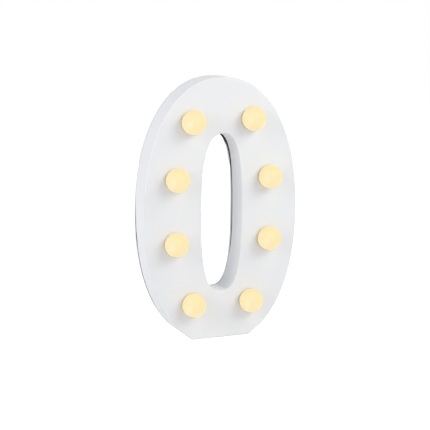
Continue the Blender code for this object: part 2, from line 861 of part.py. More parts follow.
def make_door():
    """The door with two lugs that hook under the cover and a bent tongue that snaps behind it."""
    z = BODY_CENTRE
    door = blocks(
        "battery_door",
        (around(STROKE_X, DOOR_HALF_WIDTH), (DOOR_DEPTH, DEPTH), around(z, DOOR_HALF_LENGTH)),
        material=WHITE,
    )
    front, back = lug_depths()
    reach = (z - DOOR_HALF_LENGTH - LUG_REACH, z - CAVITY_HALF_LENGTH + LEDGE)
    riser = (z - CAVITY_HALF_LENGTH + GAP, z - CAVITY_HALF_LENGTH + LEDGE)
    for i, x in enumerate(lug_middles()):
        join(door, blocks(f"lug_{i}", (around(x, LUG_WIDTH / 2), (front, back), reach)))
        join(door, blocks(f"lug_riser_{i}", (around(x, LUG_WIDTH / 2), (front, DEPTH - BURY), riser)))
    wide = around(STROKE_X, TONGUE_WIDTH / 2)
    bend = DOOR_DEPTH - TONGUE_DROP
    leaf = z + tongue_front()
    leg = z + DOOR_HALF_LENGTH
    join(
        door,
        blocks("tongue_leg", (wide, (bend - TONGUE_THICKNESS, DEPTH - BURY), (leg - TONGUE_THICKNESS, leg))),
        blocks(
            "tongue_bend",
            (wide, (bend - TONGUE_THICKNESS, bend), (leg - TONGUE_THICKNESS, leaf + TONGUE_THICKNESS)),
        ),
        blocks(
            "tongue_leaf",
            (wide, (bend - TONGUE_THICKNESS, DEPTH - TONGUE_SINK), (leaf, leaf + TONGUE_THICKNESS)),
        ),
        blocks(
            "tongue_hook",
            (wide, (COVER_DEPTH - GAP - HOOK_HEIGHT, COVER_DEPTH - GAP), (leaf + GAP, z + hook_tip())),
        ),
    )
    grips = []
    for i in range(GRIP_COUNT):
        top = z + DOOR_HALF_LENGTH - GRIP_DROP - i * GRIP_PITCH
        across = around(STROKE_X, GRIP_LENGTH / 2)
        grips.append((across, (DEPTH - GRIP_DEPTH, DEPTH + OVERRUN), (top - GRIP_WIDTH, top)))
    cut(door, blocks("door_grips", *grips))
    return set_origin(door, (STROKE_X, FRONT_Y + DEPTH, z - HINGE_DROP))


# Cells and contacts

def cell_middles():
    return STROKE_X - CELL_PITCH / 2, STROKE_X + CELL_PITCH / 2


def make_cells():
    """The left cell stands with its nub up, and the right one with its nub down."""
    radius = CELL_DIAMETER / 2
    body = CELL_LENGTH - CELL_NUB
    profile = [
        (0, CELL_LENGTH),
        (CELL_NUB_RADIUS, CELL_LENGTH),
        (CELL_NUB_RADIUS, body),
        (radius - CELL_EDGE, body),
        (radius, body - CELL_EDGE),
        (radius, CELL_EDGE),
        (radius - CELL_EDGE, 0),
        (0, 0),
    ]
    mesh = finished_mesh(turned("cell_shape", profile, CELL_SIDES, LABEL))
    nub = CAVITY_HALF_LENGTH - GAP - PLATE_THICKNESS - DIMPLE - GAP
    places = zip(cell_middles(), (1, -1), (BODY_CENTRE - CELL_LENGTH + nub, BODY_CENTRE + CELL_LENGTH - nub))
    for i, (x, up, z) in enumerate(places):
        cell = shaded(add_object(f"battery_{i + 1}", mesh, LABEL))
        cell.location = (x, FRONT_Y + CELL_DEPTH, z)
        cell.rotation_euler = (0 if up > 0 else math.pi, 0, 0)


def make_contact(name, x, dimpled):
    """A plate at the upper end of one cell, with a solder tab through the wall and perhaps a dimple."""
    high = BODY_CENTRE + CAVITY_HALF_LENGTH - GAP
    low = high - PLATE_THICKNESS
    plate = blocks(name, (around(x, PLATE_WIDTH / 2), plate_depths(), (low, high)), material=TINNED)
    nearest = min(tab_middles(), key=lambda tab: abs(tab - x))
    tab_top = BODY_CENTRE + CAVITY_HALF_LENGTH + BOX_WALL + TAB_REACH
    join(plate, blocks(f"{name}_tab", (around(nearest, TAB_WIDTH / 2), tab_depths(), (low, tab_top))))
    if dimpled:
        join(plate, dimple(f"{name}_dimple", x, low - DIMPLE, low + PLATE_THICKNESS / 2))
    return plate


def dimple(name, x, low, high):
    bm = bmesh.new()
    bmesh.ops.create_cone(
        bm,
        cap_ends=True,
        segments=SCREW_SIDES,
        radius1=DIMPLE_RADIUS,
        radius2=DIMPLE_RADIUS,
        depth=high - low,
        matrix=Matrix.Translation((x, FRONT_Y + CELL_DEPTH, (low + high) / 2)),
    )
    return add_object(name, mesh_of(bm, name))


def make_link():
    """The plate across the lower ends, which joins one cell to the other."""
    low = BODY_CENTRE - CAVITY_HALF_LENGTH + GAP
    high = low + PLATE_THICKNESS
    half = CELL_PITCH / 2 + PLATE_WIDTH / 2
    across = around(STROKE_X, half)
    link = blocks("contact_plate_link", (across, plate_depths(), (low, high)), material=TINNED)
    join(link, dimple("link_dimple", cell_middles()[1], high - PLATE_THICKNESS / 2, high + DIMPLE))


def least_self_gap(points, radius, skipped):
    """The least clear space between a tube's own turns, measured between its points."""
    least = math.inf
    for i, point in enumerate(points):
        for other in points[i + skipped:]:
            least = min(least, (point - other).length)
    return least - 2 * radius


def make_spring(name, x, seat, direction):
    """A tapered spring that stands on a plate and narrows towards its cell."""
    rise = SPRING_LENGTH - 2 * SPRING_WIRE_RADIUS
    count = round(SPRING_TURNS * SPRING_POINTS)
    points = []
    for i in range(count + 1):
        share = i / count
        radius = SPRING_WIDE_RADIUS + (SPRING_TIP_RADIUS - SPRING_WIDE_RADIUS) * share
        angle = 2 * math.pi * SPRING_TURNS * share
        z = seat + direction * (SPRING_WIRE_RADIUS + rise * share)
        y = FRONT_Y + CELL_DEPTH + radius * math.sin(angle)
        points.append(Vector((x + radius * math.cos(angle), y, z)))
    gap = least_self_gap(points, SPRING_WIRE_RADIUS, SPRING_POINTS // 2)
    print(f"{name}: least gap to itself {gap * MM_IN_A_METRE:.2f} mm")
    return tube(name, points, SPRING_WIRE_RADIUS, 1, TINNED)


def make_springs():
    reach = CAVITY_HALF_LENGTH - GAP - PLATE_THICKNESS - GAP
    left, right = cell_middles()
    make_spring("contact_spring_negative", right, BODY_CENTRE + reach, -1)
    make_spring("contact_spring_link", left, BODY_CENTRE - reach, 1)


# Screws

def screw_mesh(name, head_radius, head, radius, length):
    """A flat-headed screw with a cross recess, its seat at height 0 and its head above it."""
    profile = [(0, head), (head_radius, head), (head_radius, 0), (radius, 0), (radius, -length), (0, -length)]
    screw = turned(name, profile, SCREW_SIDES, TINNED)
    arm = 2 * head_radius * CROSS_LENGTH_SHARE
    width = 2 * head_radius * CROSS_WIDTH_SHARE
    depth = min(CROSS_DEPTH, head / 2)
    for i, (across, along) in enumerate(((arm, width), (width, arm))):
        bm = bmesh.new()
        size = Vector((across, along, depth + OVERRUN))
        middle = Matrix.Translation((0, 0, head - depth + size.z / 2))
        bmesh.ops.create_cube(bm, size=1, matrix=middle @ Matrix.Diagonal(size.to_4d()))
        cut(screw, add_object(f"{name}_cross_{i}", mesh_of(bm, name)))
    return finished_mesh(screw)


def place_screws(name, mesh, places, seat):
    for i, (x, z) in enumerate(places):
        screw = shaded(add_object(f"{name}_{i + 1}", mesh, TINNED))
        screw.location = (x, FRONT_Y + seat, z)
        screw.rotation_euler = (math.radians(-90), 0, 0)


def make_screws():
    cover = screw_mesh("cover_screw_shape", SCREW_HEAD_RADIUS, SCREW_HEAD, SCREW_RADIUS, SCREW_LENGTH - GAP)
    place_screws("cover_screw", cover, SCREWS, CUP_SEAT + GAP)
    ears = [(-STROKE_X, BODY_CENTRE + EAR_OFFSET), (-STROKE_X, BODY_CENTRE - EAR_OFFSET)]
    pin = screw_mesh("switch_screw_shape", PIN_HEAD_RADIUS, PIN_HEAD, PIN_RADIUS, PIN_LENGTH)
    place_screws("switch_screw", pin, ears, COVER_DEPTH + PIN_FLOOR + GAP)


# Slide switch

def terminal_heights():
    spread = CHANNEL_HALF_LENGTH - SWITCH_WALL
    return BODY_CENTRE - spread, BODY_CENTRE, BODY_CENTRE + spread


def make_switch_frame():
    """A steel plate behind the cover, with folded cheeks round the base and an ear at each end."""
    x, z = -STROKE_X, BODY_CENTRE
    half_width = SWITCH_HALF_WIDTH + GAP + FRAME_THICKNESS
    depths = (FRAME_DEPTH, FRAME_DEPTH + FRAME_THICKNESS)
    half_length = EAR_OFFSET + EAR_LENGTH / 2
    frame = blocks("switch_frame", (around(x, half_width), depths, around(z, half_length)), material=TINNED)
    for side in (-1, 1):
        cheek = around(x + side * (half_width - FRAME_THICKNESS / 2), FRAME_THICKNESS / 2)
        fold = (FRAME_DEPTH - CHEEK_DROP, FRAME_DEPTH + FRAME_THICKNESS / 2)
        join(frame, blocks(f"switch_cheek_{side}", (cheek, fold, around(z, SWITCH_HALF_LENGTH))))
    through = (FRAME_DEPTH - OVERRUN, COVER_DEPTH)
    cut(
        frame,
        blocks("frame_slot", (around(x, SLOT_HALF_WIDTH), through, around(z, SLOT_HALF_LENGTH))),
        rods("ear_holes", ((x, z - EAR_OFFSET), (x, z + EAR_OFFSET)), PIN_RADIUS + GAP, through, SCREW_SIDES),
    )


def make_switch_base():
    """The moulded base, with the channel that the knob's foot slides in."""
    x, z = -STROKE_X, BODY_CENTRE
    front = CHANNEL_FLOOR - SWITCH_FLOOR
    base = blocks(
        "switch_base",
        (around(x, SWITCH_HALF_WIDTH), (front, FRAME_DEPTH - GAP), around(z, SWITCH_HALF_LENGTH)),
        material=PHENOLIC,
    )
    channel = (CHANNEL_FLOOR, FRAME_DEPTH + OVERRUN)
    cut(
        base,
        blocks("channel", (around(x, CHANNEL_HALF_WIDTH), channel, around(z, CHANNEL_HALF_LENGTH))),
    )
    slots = [
        (
            around(x, TERMINAL_WIDTH / 2 + GAP),
            (front - OVERRUN, CHANNEL_FLOOR + BURY),
            around(height, TERMINAL_THICKNESS / 2 + GAP),
        )
        for height in terminal_heights()
    ]
    cut(base, blocks("terminal_slots", *slots))


def make_terminals():
    for i, height in enumerate(terminal_heights()):
        blocks(
            f"switch_terminal_{i + 1}",
            (
                around(-STROKE_X, TERMINAL_WIDTH / 2),
                (CHANNEL_FLOOR - TERMINAL_LENGTH, CHANNEL_FLOOR),
                around(height, TERMINAL_THICKNESS / 2),
            ),
            material=TINNED,
        )


def make_knob():
    """The sliding knob: a foot in the channel and a grooved stem that comes out through the cover."""
    x, z = -STROKE_X, KNOB_REST_Z
    top = DEPTH - KNOB_SINK
    knob = blocks(
        "switch_knob",
        (around(x, FOOT_WIDTH / 2), (FOOT_BACK - FOOT_THICKNESS, FOOT_BACK), around(z, FOOT_LENGTH / 2)),
        material=BLACK,
    )
    stem = (FOOT_BACK - FOOT_THICKNESS / 2, top)
    join(knob, blocks("knob_stem", (around(x, KNOB_WIDTH / 2), stem, around(z, KNOB_LENGTH / 2))))
    pitch = KNOB_LENGTH / (KNOB_GROOVE_COUNT + 1)
    grooves = []
    for i in range(KNOB_GROOVE_COUNT):
        height = z - KNOB_LENGTH / 2 + pitch * (i + 1)
        across = around(x, KNOB_WIDTH)
        grooves.append((across, (top - KNOB_GROOVE, top + OVERRUN), around(height, KNOB_GROOVE / 2)))
    cut(knob, blocks("knob_grooves", *grooves))
    set_origin(knob, (x, FRONT_Y + FOOT_BACK, z))


# Wires

def through_points(route):
    """Points on a smooth curve through a route's own points."""
    points = []
    for i in range(len(route) - 1):
        a, b, c, d = route[max(i - 1, 0)], route[i], route[i + 1], route[min(i + 2, len(route) - 1)]
        for step in range(WIRE_POINTS):
            t = step / WIRE_POINTS
            pull = (c - a) * t + (2 * a - 5 * b + 4 * c - d) * t**2 + (3 * b - a - 3 * c + d) * t**3
            points.append(b + pull / 2)
    points.append(route[-1])
    return points


def ring_stations(side):
    """Where a wire passes each lamp, on the outer or inner side of its legs, and the number's two ends."""
    offset = LEG_PITCH / 2 + LEG_SIDE / 2 + GAP + WIRE_RADIUS
    y = FRONT_Y + WIRE_DEPTH
    stations = []
    for i, (x, z) in enumerate(BULBS):
        outward = lamp_normal(i) * side * offset
        stations.append(Vector((x + outward.x, y, z + outward.y)))
    bottom = Vector((0, y, HOLE_BOTTOM / 2 - side * offset))
    top = Vector((0, y, (HOLE_TOP + BODY_HEIGHT) / 2 + side * offset))
    half = len(BULBS) // 2
    return stations[:half] + [bottom] + stations[half:] + [top]


def make_wires():
    """Two wires pass every lamp, and a third joins the cells to the switch over the top of the hole."""
    outer, inner = ring_stations(1), ring_stations(-1)
    front = FRONT_Y + WIRE_DEPTH
    tab_y = FRONT_Y + sum(tab_depths()) / 2
    tab_z = BODY_CENTRE + CAVITY_HALF_LENGTH + BOX_WALL + TAB_REACH + GAP
    lead = WIRE_LEAD
    left_tab, right_tab = tab_middles()
    positive = [
        Vector((left_tab, tab_y, tab_z)),
        Vector((left_tab, tab_y, tab_z + lead)),
        Vector((left_tab + lead / 2, (tab_y + front) / 2, tab_z + 2 * lead)),
        Vector((left_tab + lead, front, tab_z + 3 * lead)),
    ]
    # Up to the upper right lamp, over the top and round to the lamp below the start.
    ring = [outer[0]] + outer[:0:-1]
    tube("wire_positive", through_points(positive + ring), WIRE_RADIUS, 2, RED)

    _, middle, high = terminal_heights()
    terminal_y = FRONT_Y + CHANNEL_FLOOR - TERMINAL_LENGTH - GAP
    side = -STROKE_X
    switched = [
        Vector((side, terminal_y, middle)),
        Vector((side, terminal_y - lead / 2, middle)),
        Vector((side, (terminal_y + front) / 2, middle - lead / 2)),
        Vector((side, front, middle - 2 * lead)),
    ]
    # Down to the lower left lamp, under the hole and round to the lamp above the switch.
    last = len(inner) - LAMPS_BELOW_SWITCH
    ring = inner[last::-1] + inner[:last:-1]
    tube("wire_switched", through_points(switched + ring), WIRE_RADIUS, 2, RED)

    over = FRONT_Y + (LEG_END + CELL_DEPTH) / 2
    arch = (HOLE_TOP + BODY_HEIGHT) / 2
    negative = [
        Vector((right_tab, tab_y, tab_z)),
        Vector((right_tab, tab_y, tab_z + lead)),
        Vector((STROKE_X - lead, over, tab_z + 4 * lead)),
        Vector((STROKE_X / 2, over, arch - lead)),
        Vector((0, over, arch)),
        Vector((-STROKE_X / 2, over, arch - lead)),
        Vector((side + lead, over, tab_z + 4 * lead)),
        Vector((side, over, tab_z)),
        Vector((side, over, high + 2 * lead)),
        Vector((side, terminal_y - lead / 2, high + lead / 4)),
        Vector((side, terminal_y, high)),
    ]
    tube("wire_negative", through_points(negative), WIRE_RADIUS, 2, DARK)


def build():
    hole = hole_cutter()
    make_front_shell(hole)
    make_back_cover(hole)
    make_bulbs()
    make_door()
    make_cells()
    make_contact("contact_plate_positive", cell_middles()[0], True)
    make_contact("contact_plate_negative", cell_middles()[1], False)
    make_link()
    make_springs()
    make_screws()
    make_switch_frame()
    make_switch_base()
    make_terminals()
    make_knob()
    make_wires()


build()
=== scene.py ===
# %% [markdown]
# # A battery-lit marquee nought, dressed
#
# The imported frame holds 51 plain solids of a white plastic number that stands on its own foot. This
# lesson gives each of them its finish, and makes again, with smooth outlines and rounded edges, every
# piece that shows: the shell, the frosted bulbs, the cover with its door, the cells and the switch.
# Everything stays in the frame's own metres, so no piece has to be fitted by eye.

# %% Load the frame
import math

import bmesh
import bpy
from mathutils import Matrix, Vector


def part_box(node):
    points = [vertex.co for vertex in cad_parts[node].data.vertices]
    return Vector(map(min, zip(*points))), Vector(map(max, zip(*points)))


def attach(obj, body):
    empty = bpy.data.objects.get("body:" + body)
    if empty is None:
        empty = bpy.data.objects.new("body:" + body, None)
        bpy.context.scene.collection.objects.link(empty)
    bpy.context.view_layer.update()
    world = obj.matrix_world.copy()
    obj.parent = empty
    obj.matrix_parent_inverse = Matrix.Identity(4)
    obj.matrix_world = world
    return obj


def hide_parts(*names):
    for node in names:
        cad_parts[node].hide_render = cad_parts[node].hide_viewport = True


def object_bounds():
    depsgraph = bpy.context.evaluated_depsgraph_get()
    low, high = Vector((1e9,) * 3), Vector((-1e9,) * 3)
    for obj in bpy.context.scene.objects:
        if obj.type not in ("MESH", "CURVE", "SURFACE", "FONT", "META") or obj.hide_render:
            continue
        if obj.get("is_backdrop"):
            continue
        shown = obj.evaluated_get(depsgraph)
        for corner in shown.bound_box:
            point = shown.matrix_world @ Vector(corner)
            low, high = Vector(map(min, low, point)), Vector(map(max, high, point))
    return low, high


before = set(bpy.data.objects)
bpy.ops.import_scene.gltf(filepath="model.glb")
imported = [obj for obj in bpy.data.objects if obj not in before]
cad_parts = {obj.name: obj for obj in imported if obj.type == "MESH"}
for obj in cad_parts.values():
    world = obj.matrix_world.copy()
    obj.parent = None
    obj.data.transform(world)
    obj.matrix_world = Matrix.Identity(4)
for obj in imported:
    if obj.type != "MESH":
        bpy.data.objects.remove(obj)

CAD_LOW, CAD_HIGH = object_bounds()
MM = 0.001
print("size in mm:", [round(side / MM, 1) for side in CAD_HIGH - CAD_LOW])

# %% [markdown]
# ## Sizes that the frame gives
#
# A size could be typed again from the drawing, but then the two could drift apart. So each place that
# a node's box can tell is read from that box. Only what a box can't tell, such as the curve of an
# outline or the thickness of a wall, is written here, in millimetres times MM.

# %% Read places from the node boxes


def numbered(start, count):
    return [f"{start}_{i + 1}" for i in range(count)]


def middle(node):
    low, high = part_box(node)
    return (low + high) / 2


def reach(node):
    """Half of a node's size along each axis."""
    low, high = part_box(node)
    return (high - low) / 2


CAP_NODES = numbered("bulb_cap", 8)
CELL_NODES = numbered("battery", 2)
SCREW_NODES = numbered("cover_screw", 6)
PIN_NODES = numbered("switch_screw", 2)
BULBS = [middle(node) for node in CAP_NODES]
CELLS = [middle(node) for node in CELL_NODES]
SCREWS = [middle(node) for node in SCREW_NODES]
PINS = [middle(node) for node in PIN_NODES]
FRONT_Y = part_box("front_shell")[0].y
BACK_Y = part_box("back_cover")[1].y
DEPTH = BACK_Y - FRONT_Y
DOOR_X = middle("battery_door").x
KNOB_X = middle("switch_knob").x
print("depth", round(DEPTH / MM, 2), "door at", round(DOOR_X / MM, 2), "knob at", round(KNOB_X / MM, 2))

# %% Write the sizes of walls and outlines
GAP = 0.3 * MM
OVERRUN = 2.0 * MM
BURY = 0.5 * MM
BODY_HEIGHT = 220.0 * MM
BODY_HALF_WIDTH = 68.3 * MM
BODY_EXPONENT = 2.185
BODY_SINK = 6.4 * MM
FOOT_HALF_WIDTH = 25.7 * MM
FOOT_CHAMFER_HEIGHT = 9.5 * MM
FOOT_RADIUS = 3.2 * MM
HOLE_HALF_WIDTH = 18.0 * MM
HOLE_HALF_HEIGHT = 66.7 * MM
HOLE_EXPONENT = 2.69
HOLE_RISE = 0.2 * MM
WALL = 2.0 * MM
DRAFT = 0.5 * MM
EDGE_RADIUS = 0.9 * MM
COVER_THICKNESS = 2.0 * MM
COVER_RIM = 3.2 * MM
COVER_EDGE = 0.4 * MM

BODY_CENTRE = (BODY_HEIGHT - BODY_SINK) / 2
BODY_HALF_HEIGHT = (BODY_HEIGHT + BODY_SINK) / 2
HOLE_CENTRE = BODY_CENTRE + HOLE_RISE
HOLE_TOP = HOLE_CENTRE + HOLE_HALF_HEIGHT
COVER_DEPTH = DEPTH - COVER_THICKNESS
RIM_DEPTH = DEPTH - COVER_RIM

# %% [markdown]
# ## Outlines
#
# The number is an oval a little squarer than an ellipse, which a superellipse draws from one exponent.
# Its lower end is cut off to a flat foot with sloping sides. Points taken at equal angles bunch up near
# the ends of the axes, and a bunched outline shades unevenly, so the oval is walked again at equal
# steps of length. Growing an outline along its own normals then gives every rounded edge and wall.

# %% Draw ovals, circles and rounded rectangles
OVAL_STEPS = 2400
BODY_STEPS = 300
HOLE_STEPS = 220
CORNER_STEPS = 6
ROUND_STEPS = 48


def oval(z, half_width, half_height, exponent, start=0, sweep=2 * math.pi):
    """Points of a superellipse about a height, at equal angles."""
    points = []
    for i in range(OVAL_STEPS + 1):
        angle = start + sweep * i / OVAL_STEPS
        across = math.copysign(abs(math.cos(angle)) ** (2 / exponent), math.cos(angle))
        up = math.copysign(abs(math.sin(angle)) ** (2 / exponent), math.sin(angle))
        points.append(Vector((0, z)) + Vector((half_width * across, half_height * up)))
    return points


def evenly(points, count):
    """The open line through the points, walked again in that many equal steps."""
    lengths = [0]
    for before, after in zip(points, points[1:]):
        lengths.append(lengths[-1] + (after - before).length)
    walked = []
    k = 0
    for step in range(count + 1):
        target = lengths[-1] * step / count
        while k < len(points) - 2 and lengths[k + 1] < target:
            k += 1
        share = (target - lengths[k]) / (lengths[k + 1] - lengths[k])
        walked.append(points[k].lerp(points[k + 1], share))
    return walked


def arc(centre, radius, start, end, steps):
    angles = [math.radians(start + (end - start) * i / steps) for i in range(steps + 1)]
    return [centre + radius * Vector((math.cos(a), math.sin(a))) for a in angles]


def circle(x, z, radius, steps=ROUND_STEPS):
    return arc(Vector((x, z)), radius, 0, 360 * (steps - 1) / steps, steps - 1)


def rectangle(x, z, half_width, half_height, radius):
    """A rectangle with rounded corners, anticlockwise from the lower right."""
    points = []
    for across, up, start in ((1, -1, -90), (1, 1, 0), (-1, 1, 90), (-1, -1, 180)):
        centre = Vector((x + across * (half_width - radius), z + up * (half_height - radius)))
        points += arc(centre, radius, start, start + 90, CORNER_STEPS)
    return points


def rounded_corner(before, corner, after, radius):
    towards_before = (before - corner).normalized()
    towards_after = (after - corner).normalized()
    half_angle = towards_before.angle(towards_after) / 2
    centre = corner + (towards_before + towards_after).normalized() * radius / math.sin(half_angle)
    first = corner + towards_before * radius / math.tan(half_angle) - centre
    last = corner + towards_after * radius / math.tan(half_angle) - centre
    sweep = first.angle_signed(last)
    turns = [Matrix.Rotation(-sweep * i / CORNER_STEPS, 2) for i in range(CORNER_STEPS + 1)]
    return [centre + turn @ first for turn in turns]


def body_outline():
    drop = (FOOT_CHAMFER_HEIGHT - BODY_CENTRE) / BODY_HALF_HEIGHT
    start = -math.asin(abs(drop) ** (BODY_EXPONENT / 2))
    sweep = math.pi - 2 * start
    curve = oval(BODY_CENTRE, BODY_HALF_WIDTH, BODY_HALF_HEIGHT, BODY_EXPONENT, start, sweep)
    points = evenly(curve, BODY_STEPS)
    left, right = Vector((-FOOT_HALF_WIDTH, 0)), Vector((FOOT_HALF_WIDTH, 0))
    points += rounded_corner(points[-1], left, right, FOOT_RADIUS)
    points += rounded_corner(left, right, points[0], FOOT_RADIUS)
    return points


def hole_outline():
    return evenly(oval(HOLE_CENTRE, HOLE_HALF_WIDTH, HOLE_HALF_HEIGHT, HOLE_EXPONENT), HOLE_STEPS)[:-1]


def grown(outline, distance):
    """The outline moved out along its normals, with nothing of it below the floor."""
    moved = []
    for i, point in enumerate(outline):
        arriving = (point - outline[i - 1]).normalized()
        leaving = (outline[(i + 1) % len(outline)] - point).normalized()
        along = (arriving + leaving).normalized()
        outward = Vector((along.y, -along.x))
        spot = point + outward * distance / outward.dot(Vector((leaving.y, -leaving.x)))
        moved.append(Vector((spot.x, max(spot.y, 0))))
    return moved


BODY = body_outline()
HOLE = hole_outline()
print("body outline", len(BODY), "points, hole outline", len(HOLE), "points")

# %% [markdown]
# ## Solids from outlines
#
# A loft joins a stack of outlines into one closed skin, which suits walls with draft and rounded
# edges. A turned shape sweeps a profile round an axis, for bulbs, cells and screws. Boolean modifiers
# then weld and carve them. Modelling every opening by hand would give neater faces, but Booleans follow
# a changed size by themselves, and weighted normals afterwards keep the large flat faces flat.

# %% Build lofts, turned shapes and rounded boxes
TURN_STEPS = 64
SHARP_ANGLE = math.radians(33)
FRONTWARD = Matrix.Rotation(math.radians(90), 4, "X")
BACKWARD = Matrix.Rotation(math.radians(-90), 4, "X")


CORNERS = ((-1, -1), (1, -1), (1, 1), (-1, 1))


def link_object(name, data):
    obj = bpy.data.objects.new(name, data)
    bpy.context.scene.collection.objects.link(obj)
    return obj


def add_object(name, bm, *materials, turn_outward=True):
    if turn_outward:
        bmesh.ops.recalc_face_normals(bm, faces=bm.faces)
    mesh = bpy.data.meshes.new(name)
    bm.to_mesh(mesh)
    bm.free()
    for material in materials:
        mesh.materials.append(material)
    return link_object(name, mesh)


def skin(name, rings, material):
    """A closed skin through rings of equally many places."""
    bm = bmesh.new()
    rings = [[bm.verts.new(spot) for spot in ring] for ring in rings]
    bm.faces.new(rings[0])
    bm.faces.new(rings[-1])
    for ring, following in zip(rings, rings[1:]):
        for i in range(len(ring)):
            bm.faces.new((ring[i - 1], ring[i], following[i], following[i - 1]))
    return add_object(name, bm, material)


def loft(name, sections, material):
    """A skin through (depth, outline) pairs."""
    rings = [[(p.x, FRONT_Y + depth, p.y) for p in outline] for depth, outline in sections]
    return skin(name, rings, material)


def prism(name, outline, xs, material):
    """An outline of (depth, height) points drawn out from one x to another."""
    return skin(name, [[(x, FRONT_Y + p.x, p.y) for p in outline] for x in xs], material)


def box(name, xs, depths, zs, material, radius=0):
    """A box from its lowest and highest x, depth and z, with every edge rounded if a radius is given."""
    bm = bmesh.new()
    low = Vector((xs[0], FRONT_Y + depths[0], zs[0]))
    high = Vector((xs[1], FRONT_Y + depths[1], zs[1]))
    place = Matrix.Translation((low + high) / 2) @ Matrix.Diagonal((high - low).to_4d())
    bmesh.ops.create_cube(bm, size=1, matrix=place)
    if radius:
        bmesh.ops.bevel(bm, geom=bm.edges[:], offset=radius, segments=3, profile=0.5, affect="EDGES")
    return add_object(name, bm, material)


def turned(name, profile, turn, *materials, steps=TURN_STEPS):
    """A profile of (radius, height) or (radius, height, material number) points, swept round an axis."""
    bm = bmesh.new()
    rings = []
    for radius, height, *_ in profile:
        if radius == 0:
            rings.append([bm.verts.new(turn @ Vector((0, 0, height)))])
            continue
        angles = [2 * math.pi * i / steps for i in range(steps)]
        spots = [Vector((radius * math.cos(a), radius * math.sin(a), height)) for a in angles]
        rings.append([bm.verts.new(turn @ spot) for spot in spots])
    for ring, following, point in zip(rings, rings[1:], profile):
        for i in range(steps):
            a, b = ring[(i - 1) % len(ring)], ring[i % len(ring)]
            c, d = following[i % len(following)], following[(i - 1) % len(following)]
            corners = [a] + [v for v in (b, c, d) if v is not a]
            corners = [v for k, v in enumerate(corners) if v not in corners[:k]]
            if len(corners) > 2:
                bm.faces.new(corners).material_index = point[2] if len(point) > 2 else 0
    return add_object(name, bm, *materials)


def around(centre, half):
    return (centre - half, centre + half)


# %% Weld, carve and settle a piece


def combine(target, others, operation):
    for other in others:
        modifier = target.modifiers.new(other.name, "BOOLEAN")
        modifier.operation = operation
        modifier.object = other
        modifier.material_mode = "TRANSFER"
    settled_mesh(target)
    for other in others:
        bpy.data.objects.remove(other)


def carve(target, *cutters):
    combine(target, cutters, "DIFFERENCE")


def weld(target, *pieces):
    combine(target, pieces, "UNION")


def settled_mesh(obj):
    """Turns the object's modifiers into its mesh."""
    bpy.context.view_layer.update()
    graph = bpy.context.evaluated_depsgraph_get()
    mesh = bpy.data.meshes.new_from_object(obj.evaluated_get(graph), depsgraph=graph)
    obj.modifiers.clear()
    obj.data = mesh


def shaded(obj, weighted=True):
    """Smooth shading with crisp edges. Weighted normals keep flat faces flat beside a narrow rounding."""
    obj.data.shade_smooth()
    obj.data.set_sharp_from_angle(angle=SHARP_ANGLE)
    if weighted:
        modifier = obj.modifiers.new("flat_faces", "WEIGHTED_NORMAL")
        modifier.keep_sharp = True
    return obj


def placed(obj, body, slot, *nodes):
    """Lets a finished piece ride on its body, in place of the nodes it stands for. The slot is not used."""
    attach(obj, body)
    if nodes:
        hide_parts(*nodes)
    return obj


def copied(first, name, nodes):
    """The piece and linked copies of it, one for each node."""
    return [first, *[link_object(f"{name}_{i + 2}", first.data) for i in range(len(nodes) - 1)]]


# %% [markdown]
# ## Shader arithmetic
#
# A procedural finish is a small sum of patterns. Wiring Math nodes one by one hides that sum, so one
# class wraps a socket and answers to the usual operators, and one method adds any other node.

# %% Write node trees as expressions


class Wire:
    """A socket whose + - * each add one Math node."""

    def __init__(self, graph, socket):
        self.graph = graph
        self.socket = socket

    def math(self, operation, first, second):
        return self.graph.node("Math", {0: first, 1: second}, operation=operation)

    def __add__(self, other):
        return self.math("ADD", self, other)

    def __sub__(self, other):
        return self.math("SUBTRACT", self, other)

    def __rsub__(self, other):
        return self.math("SUBTRACT", other, self)

    def __mul__(self, other):
        return self.math("MULTIPLY", self, other)

    __radd__ = __add__


